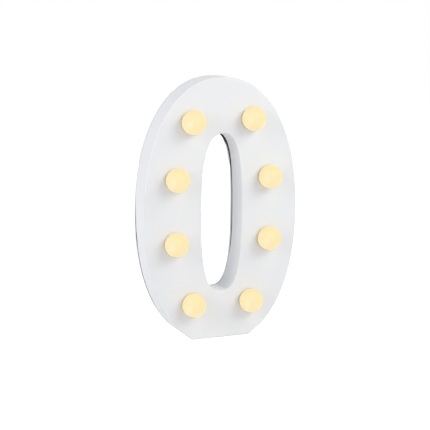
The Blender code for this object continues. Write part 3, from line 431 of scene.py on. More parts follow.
class Graph:
    """The node tree of a material or world, written from its output backwards."""

    def __init__(self, owner):
        owner.use_nodes = True
        self.owner = owner
        self.tree = owner.node_tree
        self.tree.nodes.clear()

    def node(self, kind, inputs, output=0, **settings):
        """A new node. A colour is given as red, green and blue."""
        made = self.tree.nodes.new("ShaderNode" + kind)
        for name, value in settings.items():
            setattr(made, name, value)
        for name, value in inputs.items():
            socket = made.inputs[name]
            if isinstance(value, Wire):
                self.tree.links.new(value.socket, socket)
            else:
                socket.default_value = (*value, 1) if socket.type == "RGBA" else value
        return Wire(self, made.outputs[output]) if made.outputs else made

    def noise(self, place, size, detail):
        """A soft pattern of about 0 to 1 whose blobs are that many metres across, or along x, y and z."""
        if isinstance(size, tuple):
            place = self.node("VectorMath", {0: place, 1: size}, operation="DIVIDE")
            size = 1.0
        inputs = {"Vector": place, "Scale": 1 / size, "Detail": detail, "Roughness": 0.55}
        return self.node("TexNoise", inputs)

    def axis(self, place, letter):
        return self.node("SeparateXYZ", {0: place}, letter)

    def share(self, value, start, end):
        """0 up to start and 1 from end on."""
        return self.node("MapRange", {"Value": value, "From Min": start, "From Max": end})

    def ramp(self, value, stops):
        lit = self.node("ValToRGB", {"Fac": value})
        elements = lit.socket.node.color_ramp.elements
        while len(elements) < len(stops):
            elements.new(1)
        for element, (position, colour) in zip(elements, stops):
            element.position = position
            element.color = (*colour, 1)
        return lit

    def mixed(self, share, first, second):
        """One colour going over into another. Either may be a wire."""
        return self.node("Mix", {0: share, 6: first, 7: second}, 2, data_type="RGBA")

    def bump(self, height, distance):
        return self.node("Bump", {"Height": height, "Distance": distance, "Strength": 1.0})

    def output(self, shader, kind="Material"):
        self.node("Output" + kind, {"Surface": shader})
        return self.owner

    def surface(self, **inputs):
        """The Principled surface and the tree's output. Underscores in a name stand for spaces."""
        named = {name.replace("_", " "): value for name, value in inputs.items()}
        return self.output(self.node("BsdfPrincipled", named))


def finish(name):
    """A new material's graph, and each point's place on the piece in metres."""
    graph = Graph(bpy.data.materials.new(name))
    return graph, graph.node("TexCoord", {}, "Object")


def dimmed(colour, share):
    return [part * share for part in colour]


def speckled(name, colours, size, detail, roughness, spread, height, **more):
    """A finish of one pattern, which mixes two colours and drives the roughness and the bump."""
    graph, place = finish(name)
    pattern = graph.noise(place, size, detail)
    return graph.surface(
        Base_Color=graph.mixed(pattern, *colours),
        Roughness=roughness + pattern * spread,
        Normal=graph.bump(pattern, height),
        **more,
    )


# %% [markdown]
# ## White moulded plastic
#
# The body is a satin polystyrene. A steel mould leaves a very fine pebbled skin on it, the plastic
# flows in faint cloudy streaks, and handling polishes it unevenly. A flat white would look like paper,
# so the colour drifts by about one percent, the roughness by a few, and a bump of a few micrometres
# breaks up the light.

# %% Mix the white plastics
STREAK_SIZE = 22 * MM
STREAK_SHADE = 0.985
RUB_SIZE = 6 * MM
RUB_SPREAD = 0.12
SINK_SIZE = 9 * MM
SINK_DEPTHS = 8


def moulded_plastic(name, colour, roughness, grain, depth):
    """Pale plastic with a pebbled skin: the grain is the size of its pebbles, and depth their height."""
    graph, place = finish(name)
    streaks = graph.noise(place, STREAK_SIZE, 3)
    rub = graph.noise(place, RUB_SIZE, 4)
    pebbles = graph.noise(place, grain, 1)
    sinks = graph.noise(place, SINK_SIZE, 1)
    return graph.surface(
        Base_Color=graph.mixed(streaks, dimmed(colour, STREAK_SHADE), colour),
        Roughness=roughness - RUB_SPREAD / 2 + rub * RUB_SPREAD,
        Normal=graph.bump(pebbles * depth + sinks * (SINK_DEPTHS * depth), 1.0),
        IOR=1.5,
    )


COVER_COLOUR = (0.81, 0.81, 0.815)
SHELL_WHITE = moulded_plastic("shell_white", (0.83, 0.83, 0.835), 0.4, 0.35 * MM, 0.003 * MM)
COVER_WHITE = moulded_plastic("cover_white", COVER_COLOUR, 0.5, 0.5 * MM, 0.008 * MM)
BASE_WHITE = moulded_plastic("base_white", (0.78, 0.78, 0.76), 0.3, 0.8 * MM, 0.002 * MM)

# %% [markdown]
# ## Painted shade inside
#
# Through the open seam behind the wall the photo shows dark brown. White plastic inside would catch
# light and look grey there, so the inside is coloured matt brown-black, a little speckled: painted shade
# that stands in for the shade in the seam. A low index of refraction keeps its sheen down, which would
# otherwise turn it grey in so narrow a gap.

# %% Paint shade on the inside
PAINTED_SHADE_BROWN = (0.08, 0.048, 0.04)
PAINTED_SHADE_COLOURS = (dimmed(PAINTED_SHADE_BROWN, 0.7), PAINTED_SHADE_BROWN)
# painted shade: a dark brown for the inside faces, which show only through the seam
INNER_PAINTED_SHADE = speckled("inner_painted_shade", PAINTED_SHADE_COLOURS, 1.5 * MM, 4, 0.85, 0.1, 0.05 * MM, IOR=1.25)

# %% [markdown]
# ## Front shell
#
# One moulding makes the face, the outer wall and the wall round the hole. The face meets both walls in
# a rounding of about 0.9 mm, which shows as a fine light line. At its back the shell meets the rim of the
# cover. That seam isn't even: the photo shows it 3.7 mm wide at the top of the hole and closed at the
# bottom, and on the outside open a little along the lower left. A straight rim would lose that, so the
# rim's depth is a function of height, drawn as the front edge of a block that is cut away.

# %% Shape the seam
SEAM_LEAST = 0.08 * MM
HOLE_SEAM = 3.7 * MM
HOLE_SEAM_MIDDLE = 1.5 * MM
HOLE_SEAM_ZS = (62.0 * MM, 86.0 * MM, 130.0 * MM, 168.0 * MM)
SIDE_SEAM = 1.35 * MM
SIDE_SEAM_BULGE = 0.75 * MM
SIDE_SEAM_ZS = (14.0 * MM, 34.0 * MM, 98.0 * MM, 128.0 * MM)
SIDE_BULGE_ZS = (76.0 * MM, 86.0 * MM, 96.0 * MM)


def smooth_share(value, start, end):
    """0 before start and 1 past end, with a soft step between."""
    share = min(max((value - start) / (end - start), 0), 1)
    return share * share * (3 - 2 * share)


def hole_seam(z):
    shut, open_low, bend, full = HOLE_SEAM_ZS
    low = smooth_share(z, shut, open_low) * (HOLE_SEAM_MIDDLE - SEAM_LEAST)
    high = smooth_share(z, bend, full) * (HOLE_SEAM - HOLE_SEAM_MIDDLE)
    return SEAM_LEAST + low + high


def side_seam(z):
    shut, low, high, end = SIDE_SEAM_ZS
    below, middle_z, above = SIDE_BULGE_ZS
    open_share = smooth_share(z, shut, low) * (1 - smooth_share(z, high, end))
    bulge = smooth_share(z, below, middle_z) * (1 - smooth_share(z, middle_z, above))
    return SEAM_LEAST + open_share * (SIDE_SEAM - SEAM_LEAST) + bulge * SIDE_SEAM_BULGE


# %% Mould the shell
EDGE_STEPS = 6
NECK_RADIUS = 7.3 * MM
BOSS_RADIUS = 3.0 * MM
PILOT_RADIUS = 1.6 * MM
PILOT_START = 11.5 * MM
SCREW_SINK = 4.5 * MM
CUP_FLOOR = 1.5 * MM
CUP_FRONT = DEPTH - SCREW_SINK - CUP_FLOOR
BOSS_END = CUP_FRONT - GAP
SEAM_STEPS = 60
ROD_STEPS = 32


def draft_at(depth):
    return DRAFT * depth / DEPTH


def rounding(radius):
    """(depth below the face, inset) pairs of a quarter round."""
    angles = [math.radians(90) * i / EDGE_STEPS for i in range(EDGE_STEPS + 1)]
    return [(radius * (1 - math.cos(a)), radius * (1 - math.sin(a))) for a in angles]


def shell_block():
    sections = [(depth, grown(BODY, -inset)) for depth, inset in rounding(EDGE_RADIUS)]
    sections.append((RIM_DEPTH - SEAM_LEAST, grown(BODY, draft_at(RIM_DEPTH))))
    return loft("shell", sections, SHELL_WHITE)


def hole_space():
    sections = [(-OVERRUN, grown(HOLE, EDGE_RADIUS))]
    sections += [(depth, grown(HOLE, inset)) for depth, inset in rounding(EDGE_RADIUS)]
    end = DEPTH + OVERRUN
    return loft("hole_space", [*sections, (end, grown(HOLE, -draft_at(end)))], SHELL_WHITE)


def inner_space(start, end):
    """The space between the outer wall and the wall round the hole, from one depth to another."""
    inside = [(start, grown(BODY, draft_at(start) - WALL)), (end, grown(BODY, draft_at(end) - WALL))]
    sleeve = [(start - OVERRUN, grown(HOLE, WALL)), (end + OVERRUN, grown(HOLE, WALL - draft_at(end)))]
    # painted shade: the faces that this space leaves behind when cut take the dark brown
    space = loft("inner_space", inside, INNER_PAINTED_SHADE)
    carve(space, loft("sleeve", sleeve, INNER_PAINTED_SHADE))
    return space


def seam_space(name, seam, xs, zs):
    """A block behind the rim whose front follows the seam's depth at each height."""
    heights = [zs[0] + (zs[1] - zs[0]) * i / SEAM_STEPS for i in range(SEAM_STEPS + 1)]
    front = [Vector((RIM_DEPTH - seam(z), z)) for z in heights]
    back = [Vector((DEPTH + OVERRUN, zs[1])), Vector((DEPTH + OVERRUN, zs[0]))]
    # painted shade: the rim faces cut by this block take the dark brown, as shade in the seam
    return prism(name, front + back, xs, INNER_PAINTED_SHADE)


def rods(name, places, radius, depths, material, steps=ROD_STEPS):
    return [
        loft(f"{name}_{i}", [(depth, circle(p.x, p.z, radius, steps)) for depth in depths], material)
        for i, p in enumerate(places)
    ]


shell = shell_block()
carve(shell, hole_space(), inner_space(WALL, DEPTH + OVERRUN))
# painted shade: the bosses and their pilot holes take the dark brown
weld(shell, *rods("boss", SCREWS, BOSS_RADIUS, (WALL - BURY, BOSS_END), INNER_PAINTED_SHADE))
carve(shell, *rods("pilot", SCREWS, PILOT_RADIUS, (PILOT_START, BOSS_END + OVERRUN), INNER_PAINTED_SHADE))
bulb_holes = rods("bulb_hole", BULBS, NECK_RADIUS + GAP, (-OVERRUN, WALL + BURY), SHELL_WHITE, ROUND_STEPS)
carve(shell, *bulb_holes)
sleeve_half = HOLE_HALF_WIDTH + 2 * WALL
sleeve_zs = around(HOLE_CENTRE, HOLE_HALF_HEIGHT + 2 * WALL)
left_xs = (-2 * BODY_HALF_WIDTH, -sleeve_half)
carve(
    shell,
    seam_space("side_seam", side_seam, left_xs, (SIDE_SEAM_ZS[0], SIDE_SEAM_ZS[-1])),
    seam_space("hole_seam", hole_seam, around(0, sleeve_half), sleeve_zs),
)
placed(shaded(shell), "body", "shell_plastic", "front_shell")
print("shell faces", len(shell.data.polygons), "seam at the hole's top", round(hole_seam(HOLE_TOP) / MM, 2))

# %% [markdown]
# ## Frosted bulbs
#
# Each bulb is a blown dome, a little more than half a ball, whose neck passes through the face and
# takes the lamp's base from behind. Frosting spreads the lamp's light over the whole dome, so it glows
# evenly. The photo shows a paler patch at the lower left, where the lamp at the upper right comes out
# again through the glass, and a paler underside. That could be rendered as real scattering, but at this
# size it takes many samples for a surface that looks plain. Here the dome gives off most of its light
# itself; the paler patch and the paler underside are painted light in its glow's colour, which drifts
# with the place on the ball. Over the last two millimetres of the neck the glow is dimmed: painted shade
# where the dome meets the face, which also keeps the dome's light off the face beside it.

# %% Frost the glass
CAP_RADIUS = reach("bulb_cap_1").x
CAP_STAND = 4.6 * MM
CAP_WALL = 1.2 * MM
# painted highlight: the side of the dome that is painted palest
PAINTED_HIGHLIGHT_TOWARDS = Vector((-0.64, -0.75, -0.17)).normalized()
GLOW_STRENGTH = 0.65
CLOUD_SPREAD = 0.015
CLOUD_SIZE = 3 * MM
FROSTING_SIZE = 0.25 * MM
FROSTING_HEIGHT = 0.004 * MM
GLASS_COLOURS = ((0.42, 0.35, 0.2), (0.46, 0.385, 0.225))
# painted shade: the neck's glow dims between these depths
FADE_START = 2.0 * MM
FADE_END = 0.5 * MM
NECK_PAINTED_SHADE = (0.04, 0.03, 0.02)
PAINTED_UNDER_LIGHT = (1.0, 0.82, 0.46)
PAINTED_HIGHLIGHT_GLOW = (0.88, 0.77, 0.54)
WARM_GLOW = (0.84, 0.685, 0.39)
DEEP_GLOW = (0.8, 0.64, 0.31)
GLOW_STOPS = ((0.0, DEEP_GLOW), (0.7, DEEP_GLOW), (0.88, WARM_GLOW), (0.955, WARM_GLOW), (1.0, PAINTED_HIGHLIGHT_GLOW))


def frosted_cap():
    """A glowing dome with painted light: palest to one side and below, deeper in colour away from it."""
    graph, place = finish("frosted_cap")
    centre = graph.node("VectorMath", {0: place, 1: (0, -CAP_STAND, 0)}, operation="SUBTRACT")
    sides = {0: centre, 1: PAINTED_HIGHLIGHT_TOWARDS / CAP_RADIUS}
    facing = graph.node("VectorMath", sides, "Value", operation="DOT_PRODUCT")
    cloud = graph.noise(place, CLOUD_SIZE, 3)
    # painted highlight: palest towards one side, deeper in colour away from it
    lit = graph.ramp(facing * 0.5 + 0.5 + (cloud - 0.5) * CLOUD_SPREAD, GLOW_STOPS)
    # painted light: paler towards the underside, where its own shade would fall
    under = graph.share(graph.axis(place, "Z"), 0, -CAP_RADIUS)
    # painted shade: the glow dims near the face, where the dome meets it
    fade = graph.share(graph.axis(place, "Y"), -FADE_START, -FADE_END)
    frosting = graph.noise(place, FROSTING_SIZE, 2)
    return graph.surface(
        Base_Color=graph.mixed(cloud, *GLASS_COLOURS),
        Roughness=0.5 + frosting * 0.12,
        Emission_Color=graph.mixed(fade, graph.mixed(under, lit, PAINTED_UNDER_LIGHT), NECK_PAINTED_SHADE),
        Emission_Strength=GLOW_STRENGTH,
        Normal=graph.bump(frosting, FROSTING_HEIGHT),
        IOR=1.45,
    )


FROST = frosted_cap()

# %% Blow the domes
DOME_STEPS = 28
CAP_TURN_STEPS = 72
NECK_FILLET = 0.4 * MM


def dome(radius, centre, lowest, steps):
    last = math.acos((lowest - centre) / radius)
    angles = [last * i / steps for i in range(steps + 1)]
    return [(radius * math.sin(a), centre + radius * math.cos(a)) for a in angles]


def cap_profile():
    outside = dome(CAP_RADIUS, CAP_STAND, GAP + NECK_FILLET / 2, DOME_STEPS)
    rim = outside[-1][0]
    inside = dome(CAP_RADIUS - CAP_WALL, CAP_STAND, GAP + CAP_WALL, DOME_STEPS // 2)
    bore = NECK_RADIUS - CAP_WALL
    neck = [
        (rim - NECK_FILLET / 4, GAP + NECK_FILLET / 8),
        (rim - NECK_FILLET, GAP),
        (NECK_RADIUS, GAP),
        (NECK_RADIUS, -WALL + NECK_FILLET / 2),
        (NECK_RADIUS - NECK_FILLET / 2, -WALL),
        (bore, -WALL),
        (bore, GAP + CAP_WALL),
    ]
    points = outside + neck + inside[::-1]
    return [(0, points[0][1])] + points[1:-1] + [(0, points[-1][1])]


first_cap = shaded(turned("cap_1", cap_profile(), FRONTWARD, FROST, steps=CAP_TURN_STEPS), weighted=False)
for node, spot, cap in zip(CAP_NODES, BULBS, copied(first_cap, "cap", CAP_NODES)):
    cap.location = (spot.x, FRONT_Y, spot.z)
    placed(cap, "body", "frosted_cap", node)
print("caps", len(BULBS), "dome stands out", round((CAP_RADIUS + CAP_STAND) / MM, 2), "mm")

# %% [markdown]
# ## Back cover
#
# The cover is a flat plate with everything on it that a hand or a tool reaches: the well for two cells,
# the notch where the door's tongue snaps, a recess for the switch, six screw cups and a keyhole to hang
# the number by. Every opening is a pocket: a straight cut with a small rounded lip, because a moulded
# edge is never sharp and its lip is what catches the light. A rim 2 mm wide runs along both outlines and
# reaches 3.2 mm forward, since the photo shows a band of that depth behind the seam. The rim's front
# takes the same dark brown painted shade as the shell's inside, and near the top of the hole that
# painted shade reaches over the edge of the cover's hole, with a ragged border.

# %% Cut pockets with rounded lips
LIP = 0.25 * MM
CELL_RADIUS = reach("battery_1").x
CELL_LENGTH = 2 * reach("battery_1").z
CELL_DEPTH = middle("battery_1").y - FRONT_Y
CELL_ROOM = 0.4 * MM
BOX_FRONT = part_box("back_cover")[0].y - FRONT_Y
BOX_FLOOR = 1.5 * MM
BOX_WALL = 2.2 * MM
LEDGE = 1.0 * MM
DOOR_THICKNESS = 1.8 * MM
DOOR_DEPTH = DEPTH - DOOR_THICKNESS
DOOR_HALF_WIDTH = reach("battery_door").x
DOOR_HALF_LENGTH = 30.1 * MM
DOOR_CORNER = 1.0 * MM
CAVITY_HALF_WIDTH = DOOR_HALF_WIDTH - LEDGE
CAVITY_HALF_LENGTH = DOOR_HALF_LENGTH - LEDGE
TONGUE_WIDTH = 8.0 * MM
TONGUE_THICKNESS = 0.8 * MM
TONGUE_SPACE = 1.9 * MM
TONGUE_BEND = DOOR_DEPTH - 6.5 * MM
NOTCH_ROOM = 0.8 * MM
HOOK_BITE = 0.5 * MM
HOOK_HEIGHT = 1.4 * MM
HOUSING_WALL = 1.5 * MM
FINGER_LENGTH = 5.5 * MM
FINGER_SPREAD = 2.2 * MM
FINGER_DEPTH = 1.0 * MM
LUG_WIDTH = 3.0 * MM
LUG_THICKNESS = 1.4 * MM
LUG_REACH = 2.2 * MM
LUG_SWING = 1.5 * MM
TONGUE_FRONT = DOOR_HALF_LENGTH + TONGUE_SPACE
NOTCH_EDGE = TONGUE_FRONT + TONGUE_THICKNESS + NOTCH_ROOM
HOOK_TIP = NOTCH_EDGE + HOOK_BITE
LUG_BACK = COVER_DEPTH - GAP
LUG_FRONT = LUG_BACK - LUG_THICKNESS
LUG_OFFSET = CAVITY_HALF_WIDTH - GAP - LUG_WIDTH / 2
TAB_WIDTH = 3.0 * MM
TAB_THICKNESS = 0.4 * MM


def pocket(name, outline, floor, lip=LIP):
    """A cutter from the back of the cover down to a depth, which leaves a rounded lip."""
    sections = [(floor, outline)]
    for depth, inset in reversed(rounding(lip)):
        sections.append((DEPTH - depth, grown(outline, inset)))
    return loft(name, [*sections, (DEPTH + OVERRUN, grown(outline, lip))], COVER_WHITE)


def cover_plate():
    sections = [(RIM_DEPTH, grown(BODY, draft_at(RIM_DEPTH)))]
    for depth, inset in reversed(rounding(COVER_EDGE)):
        sections.append((DEPTH - depth, grown(BODY, draft_at(DEPTH) - inset)))
    plate = loft("cover", sections, COVER_WHITE)
    hole_pocket = pocket("hole_pocket", grown(HOLE, -draft_at(DEPTH)), -OVERRUN, COVER_EDGE)
    carve(plate, hole_pocket, inner_space(0, COVER_DEPTH))
    return plate


def at_door(half_width, half_length, radius):
    return rectangle(DOOR_X, BODY_CENTRE, half_width, half_length, radius)


def compartment():
    """The well for the cells and the small housing behind the tongue's notch, before they are hollowed."""
    walls = at_door(CAVITY_HALF_WIDTH + BOX_WALL, CAVITY_HALF_LENGTH + BOX_WALL, LEDGE)
    end = COVER_DEPTH + BURY
    xs = around(DOOR_X, TONGUE_WIDTH / 2 + GAP + HOUSING_WALL)
    floor = TONGUE_BEND - TONGUE_THICKNESS - GAP - HOUSING_WALL
    top = BODY_CENTRE + HOOK_TIP + GAP + HOUSING_WALL
    # painted shade: the well's outside and the tongue's housing take the dark brown
    return (
        loft("well", [(BOX_FRONT, walls), (end, walls)], INNER_PAINTED_SHADE),
        box("tongue_housing", xs, (floor, end), (BODY_CENTRE, top), INNER_PAINTED_SHADE),
    )


def compartment_cuts():
    tongue_half = TONGUE_WIDTH / 2 + GAP
    tongue_xs = around(DOOR_X, tongue_half)
    tongue_depths = (TONGUE_BEND - TONGUE_THICKNESS - GAP, COVER_DEPTH)
    tongue_zs = (BODY_CENTRE, BODY_CENTRE + HOOK_TIP + GAP)
    inside = at_door(CAVITY_HALF_WIDTH, CAVITY_HALF_LENGTH, LEDGE)
    opening = at_door(DOOR_HALF_WIDTH + GAP, DOOR_HALF_LENGTH + GAP, DOOR_CORNER + GAP)
    notch = rectangle(DOOR_X, BODY_CENTRE + NOTCH_EDGE / 2, tongue_half, NOTCH_EDGE / 2, BURY)
    finger_low = BODY_CENTRE + TONGUE_FRONT
    finger_high = BODY_CENTRE + NOTCH_EDGE + FINGER_LENGTH
    half = (finger_high - finger_low) / 2
    finger = rectangle(DOOR_X, finger_low + half, tongue_half + FINGER_SPREAD, half, FINGER_SPREAD)
    cuts = [
        loft("cell_space", [(BOX_FRONT + BOX_FLOOR, inside), (DEPTH + OVERRUN, inside)], COVER_WHITE),
        pocket("door_opening", opening, DOOR_DEPTH - GAP),
        box("tongue_space", tongue_xs, tongue_depths, tongue_zs, COVER_WHITE),
        pocket("tongue_notch", notch, COVER_DEPTH - BURY),
        pocket("finger_recess", finger, DEPTH - FINGER_DEPTH),
    ]
    slot_depths = (LUG_FRONT - LUG_SWING, COVER_DEPTH)
    slot_low = BODY_CENTRE - DOOR_HALF_LENGTH - LUG_REACH - GAP
    slot_zs = (slot_low, BODY_CENTRE - CAVITY_HALF_LENGTH + BURY)
    for i, side in enumerate((-1, 1)):
        slot_xs = around(DOOR_X + side * LUG_OFFSET, LUG_WIDTH / 2 + GAP)
        cuts.append(box(f"lug_slot_{i}", slot_xs, slot_depths, slot_zs, COVER_WHITE))
    return cuts


# %% Shape the screw cups, the switch's recess and the keyhole
CUP_RADIUS = 4.2 * MM
CUP_HOLE_RADIUS = 3.1 * MM
CUP_SEAT = DEPTH - SCREW_SINK
PIN_HEAD_RADIUS = 1.9 * MM
PIN_SEAT = COVER_DEPTH + 0.6 * MM
PIN_RADIUS = 0.9 * MM
SLOT_HALF_WIDTH = 2.3 * MM
SLOT_HALF_LENGTH = 4.05 * MM
THUMB_SIDE = 3.8 * MM
THUMB_MARGIN = 2.5 * MM
THUMB_DEPTH = 0.9 * MM
KEYHOLE_CENTRE = Vector((0, BODY_HEIGHT - 28.0 * MM))
KEYHOLE_RADIUS = 4.25 * MM
KEYHOLE_SLOT_RADIUS = 2.3 * MM
KEYHOLE_SLOT_LENGTH = 9.0 * MM
KEYHOLE_STEPS = 20
WORD_HEIGHT = 4.6 * MM
WORD_DEPTH = 0.5 * MM
WORD_BOLD = 0.1 * MM
WORD_OFFSET = 15.5 * MM
MERGE_DISTANCE = MM / 1000


def keyhole_outline():
    opening = math.degrees(math.acos(KEYHOLE_SLOT_RADIUS / KEYHOLE_RADIUS))
    entry = arc(KEYHOLE_CENTRE, KEYHOLE_RADIUS, 180 - opening, 360 + opening, 2 * KEYHOLE_STEPS)
    top = KEYHOLE_CENTRE + Vector((0, KEYHOLE_SLOT_LENGTH))
    return entry + arc(top, KEYHOLE_SLOT_RADIUS, 0, 180, KEYHOLE_STEPS)


def word(name, letters, z):
    """Plain capitals, sunk into the back of the cover beside the switch. They come with their faces
    outward, and turning them again would turn the ring of an O inside out."""
    data = bpy.data.curves.new(name, "FONT")
    data.body = letters
    data.size = WORD_HEIGHT
    data.align_x = "CENTER"
    data.align_y = "CENTER"
    data.extrude = WORD_DEPTH
    data.offset = WORD_BOLD
    data.resolution_u = 3
    written = link_object(name, data)
    graph = bpy.context.evaluated_depsgraph_get()
    mesh = bpy.data.meshes.new_from_object(written.evaluated_get(graph), depsgraph=graph)
    bpy.data.objects.remove(written)
    bm = bmesh.new()
    bm.from_mesh(mesh)
    bmesh.ops.remove_doubles(bm, verts=bm.verts, dist=MERGE_DISTANCE)
    bm.transform(Matrix(((-1, 0, 0, KNOB_X), (0, 0, 1, BACK_Y), (0, 1, 0, z), (0, 0, 0, 1))))
    return add_object(name, bm, COVER_WHITE, turn_outward=False)


def pockets():
    """Everything that a tool, a finger or a nail reaches through the plate."""
    thumb_half = SLOT_HALF_WIDTH + THUMB_SIDE
    thumb = rectangle(KNOB_X, BODY_CENTRE, thumb_half, SLOT_HALF_LENGTH + THUMB_MARGIN, THUMB_MARGIN)
    slot = rectangle(KNOB_X, BODY_CENTRE, SLOT_HALF_WIDTH, SLOT_HALF_LENGTH, BURY)
    through = COVER_DEPTH - OVERRUN
    cups = [circle(p.x, p.z, CUP_HOLE_RADIUS) for p in SCREWS]
    pins = [circle(p.x, p.z, PIN_HEAD_RADIUS + GAP) for p in PINS]
    return [
        *[pocket(f"cup_{i}", ring, CUP_SEAT) for i, ring in enumerate(cups)],
        *rods("shank", SCREWS, PILOT_RADIUS, (CUP_FRONT - OVERRUN, CUP_SEAT + BURY), COVER_WHITE),
        *[pocket(f"pin_{i}", ring, PIN_SEAT) for i, ring in enumerate(pins)],
        *rods("pin_shank", PINS, PIN_RADIUS + GAP, (through, PIN_SEAT + BURY), COVER_WHITE),
        pocket("thumb_recess", thumb, DEPTH - THUMB_DEPTH),
        loft("knob_slot", [(through, slot), (DEPTH + OVERRUN, slot)], COVER_WHITE),
        pocket("keyhole", keyhole_outline(), through),
    ]


# %% Mould the cover
CRADLE_SPREAD = 0.7
HOLE_SHADE_START = 163.0 * MM
HOLE_SHADE_END = 165.5 * MM
HOLE_SHADE_MARGIN = 5.0 * MM
HOLE_SHADE_GRAIN = 1.5 * MM
HOLE_SHADE_RAGGEDNESS = 2 * MM
FACING = 0.5


def tab_slots():
    slots = []
    top = BODY_CENTRE + CAVITY_HALF_LENGTH
    zs = (top - BURY, top + BOX_WALL + BURY)
    for node in ("contact_plate_positive", "contact_plate_negative"):
        low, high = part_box(node)
        x = high.x - TAB_WIDTH / 2 if middle(node).x > DOOR_X else low.x + TAB_WIDTH / 2
        front = low.y - FRONT_Y
        depths = (front - GAP, front + TAB_THICKNESS + GAP)
        slots.append(box(f"{node}_slot", around(x, TAB_WIDTH / 2 + GAP), depths, zs, COVER_WHITE))
    return slots


def cell_cradles():
    """Two low ribs with round hollows that the cells lie in."""
    cradles = []
    radius = CELL_RADIUS + CELL_ROOM / 2
    roller = [(0, -MM), (radius, -MM), (radius, MM), (0, MM)]
    xs = around(DOOR_X, CAVITY_HALF_WIDTH + BURY)
    depths = (BOX_FRONT + BOX_FLOOR - BURY, CELL_DEPTH)
    for i, share in enumerate((-0.5, 0.5)):
        z = BODY_CENTRE + share * CELL_LENGTH * CRADLE_SPREAD
        rib = box(f"cradle_{i}", xs, depths, around(z, TAB_THICKNESS), COVER_WHITE)
        hollows = [
            turned(f"{node}_hollow_{i}", roller, Matrix.Translation((cell.x, cell.y, z)), COVER_WHITE)
            for node, cell in zip(CELL_NODES, CELLS)
        ]
        carve(rib, *hollows)
        cradles.append(rib)
    return cradles


def hole_top_shade():
    """Pale plastic with dark brown painted shade above a height, with a ragged edge."""
    graph, place = finish("cover_hole_top_shade")
    ragged = graph.axis(place, "Z") + graph.noise(place, HOLE_SHADE_GRAIN, 3) * HOLE_SHADE_RAGGEDNESS
    share = graph.share(ragged, HOLE_SHADE_START, HOLE_SHADE_END)
    # painted shade: the cover's colour turns dark brown above a ragged height
    colour = graph.mixed(share, COVER_COLOUR, PAINTED_SHADE_BROWN)
    return graph.surface(Base_Color=colour, Roughness=0.5 + share * 0.35)


def paint_shade_on_front(obj):
    """Puts painted shade on what faces forward into the shell, and on the upper end of the cover's hole."""
    obj.data.materials.append(INNER_PAINTED_SHADE)
    obj.data.materials.append(hole_top_shade())
    edge = len(obj.data.materials) - 1
    for face in obj.data.polygons:
        spot = face.center
        in_hole = abs(spot.x) < HOLE_HALF_WIDTH and HOLE_SHADE_START - HOLE_SHADE_MARGIN < spot.z < HOLE_TOP + WALL
        # painted shade: forward faces take the dark brown, and the hole's upper end takes the hole-top
        # shade
        if face.normal.y < -FACING and spot.y < FRONT_Y + COVER_DEPTH + GAP / 2:
            face.material_index = edge - 1
        elif in_hole and abs(face.normal.y) < FACING:
            face.material_index = edge


cover = cover_plate()
weld(cover, *compartment())
# painted shade: the cup walls inside the shell take the dark brown
cup_walls = rods("cup_wall", SCREWS, CUP_RADIUS, (CUP_FRONT, COVER_DEPTH + BURY), INNER_PAINTED_SHADE, ROUND_STEPS)
weld(cover, *cup_walls)
carve(cover, *compartment_cuts())
weld(cover, *cell_cradles())
carve(cover, *tab_slots())
carve(cover, *pockets())
word_on = word("word_on", "ON", BODY_CENTRE + WORD_OFFSET)
carve(cover, word_on, word("word_off", "OFF", BODY_CENTRE - WORD_OFFSET))
paint_shade_on_front(cover)
placed(shaded(cover), "body", "cover_plastic", "back_cover")
print("cover faces", len(cover.data.polygons))

# %% [markdown]
# ## Battery door
#
# The door is a flat plate with two lugs that hook under the cover, grip lines for a thumb, and a tongue
# bent to a U whose free leg carries a small wedge. Pressing the leg towards the door frees the wedge.
# The tongue's section is drawn once, as leg, round bend and leaf, and drawn out to its width.

# %% Mould the door
GRIP_COUNT = 4
GRIP_PITCH = 2.5 * MM
GRIP_DROP = 6.0 * MM
GRIP_HALF_LENGTH = 7.0 * MM
GRIP_HALF_WIDTH = 0.5 * MM
GRIP_ROUND = GRIP_HALF_WIDTH * 0.9
GRIP_FLOOR = DEPTH - 0.6 * MM
GRIP_LIP = 0.1 * MM
MARK_HALF_LENGTH = 2.4 * MM
MARK_SLOPE = math.radians(38)
TONGUE_SINK = 0.2 * MM
OUTER_BEND_STEPS = 16
INNER_BEND_STEPS = 12
TIP_STEPS = 8
PART_EDGE = 0.15 * MM


def tongue():
    """Leg, bend, leaf and wedge, as one outline of (depth, height) points."""
    leg = BODY_CENTRE + DOOR_HALF_LENGTH
    leaf = BODY_CENTRE + TONGUE_FRONT
    hook = BODY_CENTRE + HOOK_TIP
    half = TONGUE_THICKNESS / 2
    inner = TONGUE_SPACE / 2
    centre = Vector((TONGUE_BEND - TONGUE_THICKNESS + (inner + TONGUE_THICKNESS), leg + inner))
    hook_back = COVER_DEPTH - GAP
    outline = [
        Vector((DEPTH - BURY, leg - TONGUE_THICKNESS)),
        *arc(centre, inner + TONGUE_THICKNESS, 270, 90, OUTER_BEND_STEPS),
        Vector((hook_back - HOOK_HEIGHT, leaf + TONGUE_THICKNESS)),
        Vector((hook_back - BURY, hook)),
        Vector((hook_back, hook)),
        Vector((hook_back, leaf + TONGUE_THICKNESS)),
        *arc(Vector((DEPTH - TONGUE_SINK - half, leaf + half)), half, 90, -90, TIP_STEPS),
        *arc(centre, inner, 90, 270, INNER_BEND_STEPS),
        Vector((DEPTH - BURY, leg)),
    ]
    return prism("tongue", outline, around(DOOR_X, TONGUE_WIDTH / 2), COVER_WHITE)


def door_plate():
    outline = at_door(DOOR_HALF_WIDTH, DOOR_HALF_LENGTH, DOOR_CORNER)
    sections = [(DOOR_DEPTH, grown(outline, -PART_EDGE)), (DOOR_DEPTH + PART_EDGE, outline)]
    for depth, inset in reversed(rounding(LIP)):
        sections.append((DEPTH - depth, grown(outline, -inset)))
    return loft("door", sections, COVER_WHITE)


